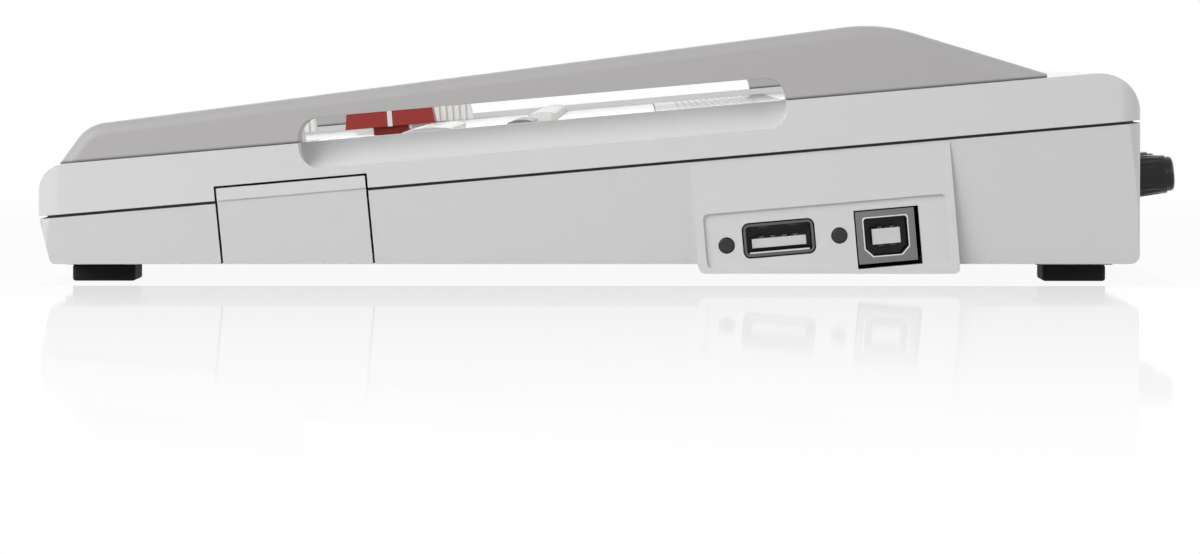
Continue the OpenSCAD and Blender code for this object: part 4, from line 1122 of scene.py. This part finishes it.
class RECORDER_OT_stage(LooksOperator, bpy.types.Operator):
    """Set the pale floor, the soft studio light and the camera"""

    bl_idname = "recorder.stage"
    bl_label = "Stage"
    # The look's offset from -X, along Y and down, and the focal length, in pixels of the photograph
    aim, focal_pixels = (-40.0, 222.0), 5203.0
    sensor_width = 36.0
    # The floor in metres: how white and how glossy it is beside the case, and how far that reaches
    footprint = {"X": 188 * MM, "Y": 118 * MM}
    floor_half = 30.0
    white_near, white_reach = 0.94, 0.35
    gloss_near, gloss_reach, gloss_rough = 0.24, 0.50, 0.045
    gloss_start = 0.3 * MM
    sky, sky_level = (0.97, 0.97, 1.0), 0.22
    # Each lamp's place, aim, width and height in metres, and watts
    middle, right_wall = (0, 0, 0.03), (0.15, 0, 0.03)
    lamps = {
        "overhead": ((0.1, 0.1, 1.5), (0, 0, 0), (2.4, 2.0), 1.5),
        "side soft box": ((1.1, -1.0, 0.82), right_wall, (1.1, 0.9), 15),
        "low soft box": ((1.6, -0.5, 0.38), right_wall, (1.0, 0.4), 4.6),
        "fill soft box": ((1.1, 1.2, 0.5), right_wall, (0.8, 0.6), 3.5),
        "front soft box": ((0.0, -1.5, 0.7), middle, (2.2, 1.3), 3.5),
        "rear soft box": ((-0.3, 1.5, 0.7), middle, (2.2, 1.3), 10),
        "left soft box": ((-1.5, -0.2, 0.7), middle, (2.2, 1.3), 9),
    }

    def off_footprint(self, tree):
        """How far a place on the floor lies outside the recorder's footprint, in metres."""
        split = axes(tree, object_coords(tree))
        squares = []
        for axis, half in self.footprint.items():
            past = maths(tree, "SUBTRACT", maths(tree, "ABSOLUTE", split[axis], 0.0), half)
            past = maths(tree, "MAXIMUM", past, 0.0)
            squares.append(maths(tree, "MULTIPLY", past, past))
        return maths(tree, "SQRT", maths(tree, "ADD", *squares), 0.0)

    def floor_finish(self):
        """A table that shows white, with a gloss that fades away from the case, and clear from below."""
        made, tree, shader = bare_material("stage floor")
        shader.inputs["Base Color"].default_value = (*self.tints.floor, 1)
        shader.inputs["Roughness"].default_value = 0.6
        shader.inputs["Specular IOR Level"].default_value = 0.0
        far = self.off_footprint(tree)
        white = place(tree, "ShaderNodeEmission", inputs={"Color": (1, 1, 1, 1), "Strength": 1.0})
        shown = maths(tree, "MULTIPLY", seen_directly(tree),
                      spread(tree, far, 0.0, self.white_reach, self.white_near, 1.0))
        surface = mixed_shaders(tree, shown, shader.outputs[0], white.outputs[0])
        gloss = place(tree, "ShaderNodeBsdfGlossy",
                      inputs={"Color": (1, 1, 1, 1), "Roughness": self.gloss_rough})
        polish = maths(tree, "MULTIPLY", maths(tree, "GREATER_THAN", far, self.gloss_start),
                       spread(tree, far, 0.0, self.gloss_reach, self.gloss_near, 0.0))
        surface = mixed_shaders(tree, polish, surface, gloss.outputs[0])
        below = place(tree, "ShaderNodeNewGeometry").outputs["Backfacing"]
        surface = mixed_shaders(tree, below, surface, place(tree, "ShaderNodeBsdfTransparent").outputs[0])
        tree.links.new(surface, tree.nodes["Material Output"].inputs["Surface"])
        return made

    def floor(self):
        mesh = bpy.data.meshes.new("floor")
        shape = bmesh.new()
        bmesh.ops.create_grid(shape, x_segments=1, y_segments=1, size=self.floor_half)
        shape.to_mesh(mesh)
        shape.free()
        mesh.materials.append(self.floor_finish())
        obj = bpy.data.objects.new("floor", mesh)
        bpy.context.scene.collection.objects.link(obj)

    def world(self, scene):
        """An even soft light from all round, in front of white."""
        world = bpy.data.worlds.new("studio")
        scene.world = world
        world.use_nodes = True
        tree = world.node_tree
        back = tree.nodes["Background"]
        back.inputs["Color"].default_value = (*self.sky, 1)
        back.inputs["Strength"].default_value = self.sky_level
        white = place(tree, "ShaderNodeBackground", inputs={"Color": (1, 1, 1, 1), "Strength": 1.0})
        surface = mixed_shaders(tree, seen_directly(tree), back.outputs[0], white.outputs[0])
        tree.links.new(surface, tree.nodes["World Output"].inputs["Surface"])

    def lamp(self, scene, name, at, aim, size, watts):
        """A rectangular soft box that looks at a point."""
        light = bpy.data.lights.new(name, "AREA")
        light.shape = "RECTANGLE"
        light.size, light.size_y = size
        light.energy = watts * settings().stage.light_level
        obj = bpy.data.objects.new(name, light)
        scene.collection.objects.link(obj)
        obj.location = at
        obj.rotation_euler = (Vector(aim) - Vector(at)).to_track_quat("-Z", "Y").to_euler()

    def camera(self, scene):
        """The camera at the right side, about as high as the case."""
        stage = settings().stage
        camera = bpy.data.cameras.new("camera")
        camera.lens = stage.lens
        camera.sensor_width = self.sensor_width
        obj = bpy.data.objects.new("camera", camera)
        scene.collection.objects.link(obj)
        obj.location = stage.camera_at
        along, down = (offset / self.focal_pixels for offset in self.aim)
        obj.rotation_euler = Vector((-1.0, along, -down)).to_track_quat("-Z", "Y").to_euler()
        scene.camera = obj

    def execute(self, context):
        scene = context.scene
        scene.view_settings.view_transform = "Standard"
        self.floor()
        self.world(scene)
        for name, values in self.lamps.items():
            self.lamp(scene, name, *values)
        self.camera(scene)
        return {"FINISHED"}


OPERATORS = (
    RECORDER_OT_shells, RECORDER_OT_rails, RECORDER_OT_panel, RECORDER_OT_faders, RECORDER_OT_keys,
    RECORDER_OT_dial, RECORDER_OT_windows, RECORDER_OT_ports, RECORDER_OT_rear, RECORDER_OT_underside,
    RECORDER_OT_inside, RECORDER_OT_stage,
)


class RECORDER_PT_looks(bpy.types.Panel):
    """Steps and settings of the recorder's looks"""

    bl_idname = "RECORDER_PT_looks"
    bl_label = "Recorder looks"
    bl_space_type = "VIEW_3D"
    bl_region_type = "UI"
    bl_category = "Recorder"

    def draw(self, context):
        for operator in OPERATORS:
            self.layout.operator(operator.bl_idname)
        for group in (settings().colours, settings().sizes, settings().stage):
            section = self.layout.box()
            for name in group.bl_rna.properties.keys():
                if name not in ("name", "rna_type"):
                    section.prop(group, name)


CLASSES = (RecorderColours, RecorderSizes, RecorderStage, RecorderLooks, *OPERATORS, RECORDER_PT_looks)


def register():
    for kind in CLASSES:
        bpy.utils.register_class(kind)
    bpy.types.Scene.recorder_looks = bpy.props.PointerProperty(type=RecorderLooks)


def unregister():
    del bpy.types.Scene.recorder_looks
    for kind in reversed(CLASSES):
        bpy.utils.unregister_class(kind)


def main():
    register()
    for operator in OPERATORS:
        group, step = operator.bl_idname.split(".")
        getattr(getattr(bpy.ops, group), step)()


if __name__ == "__main__":
    main()
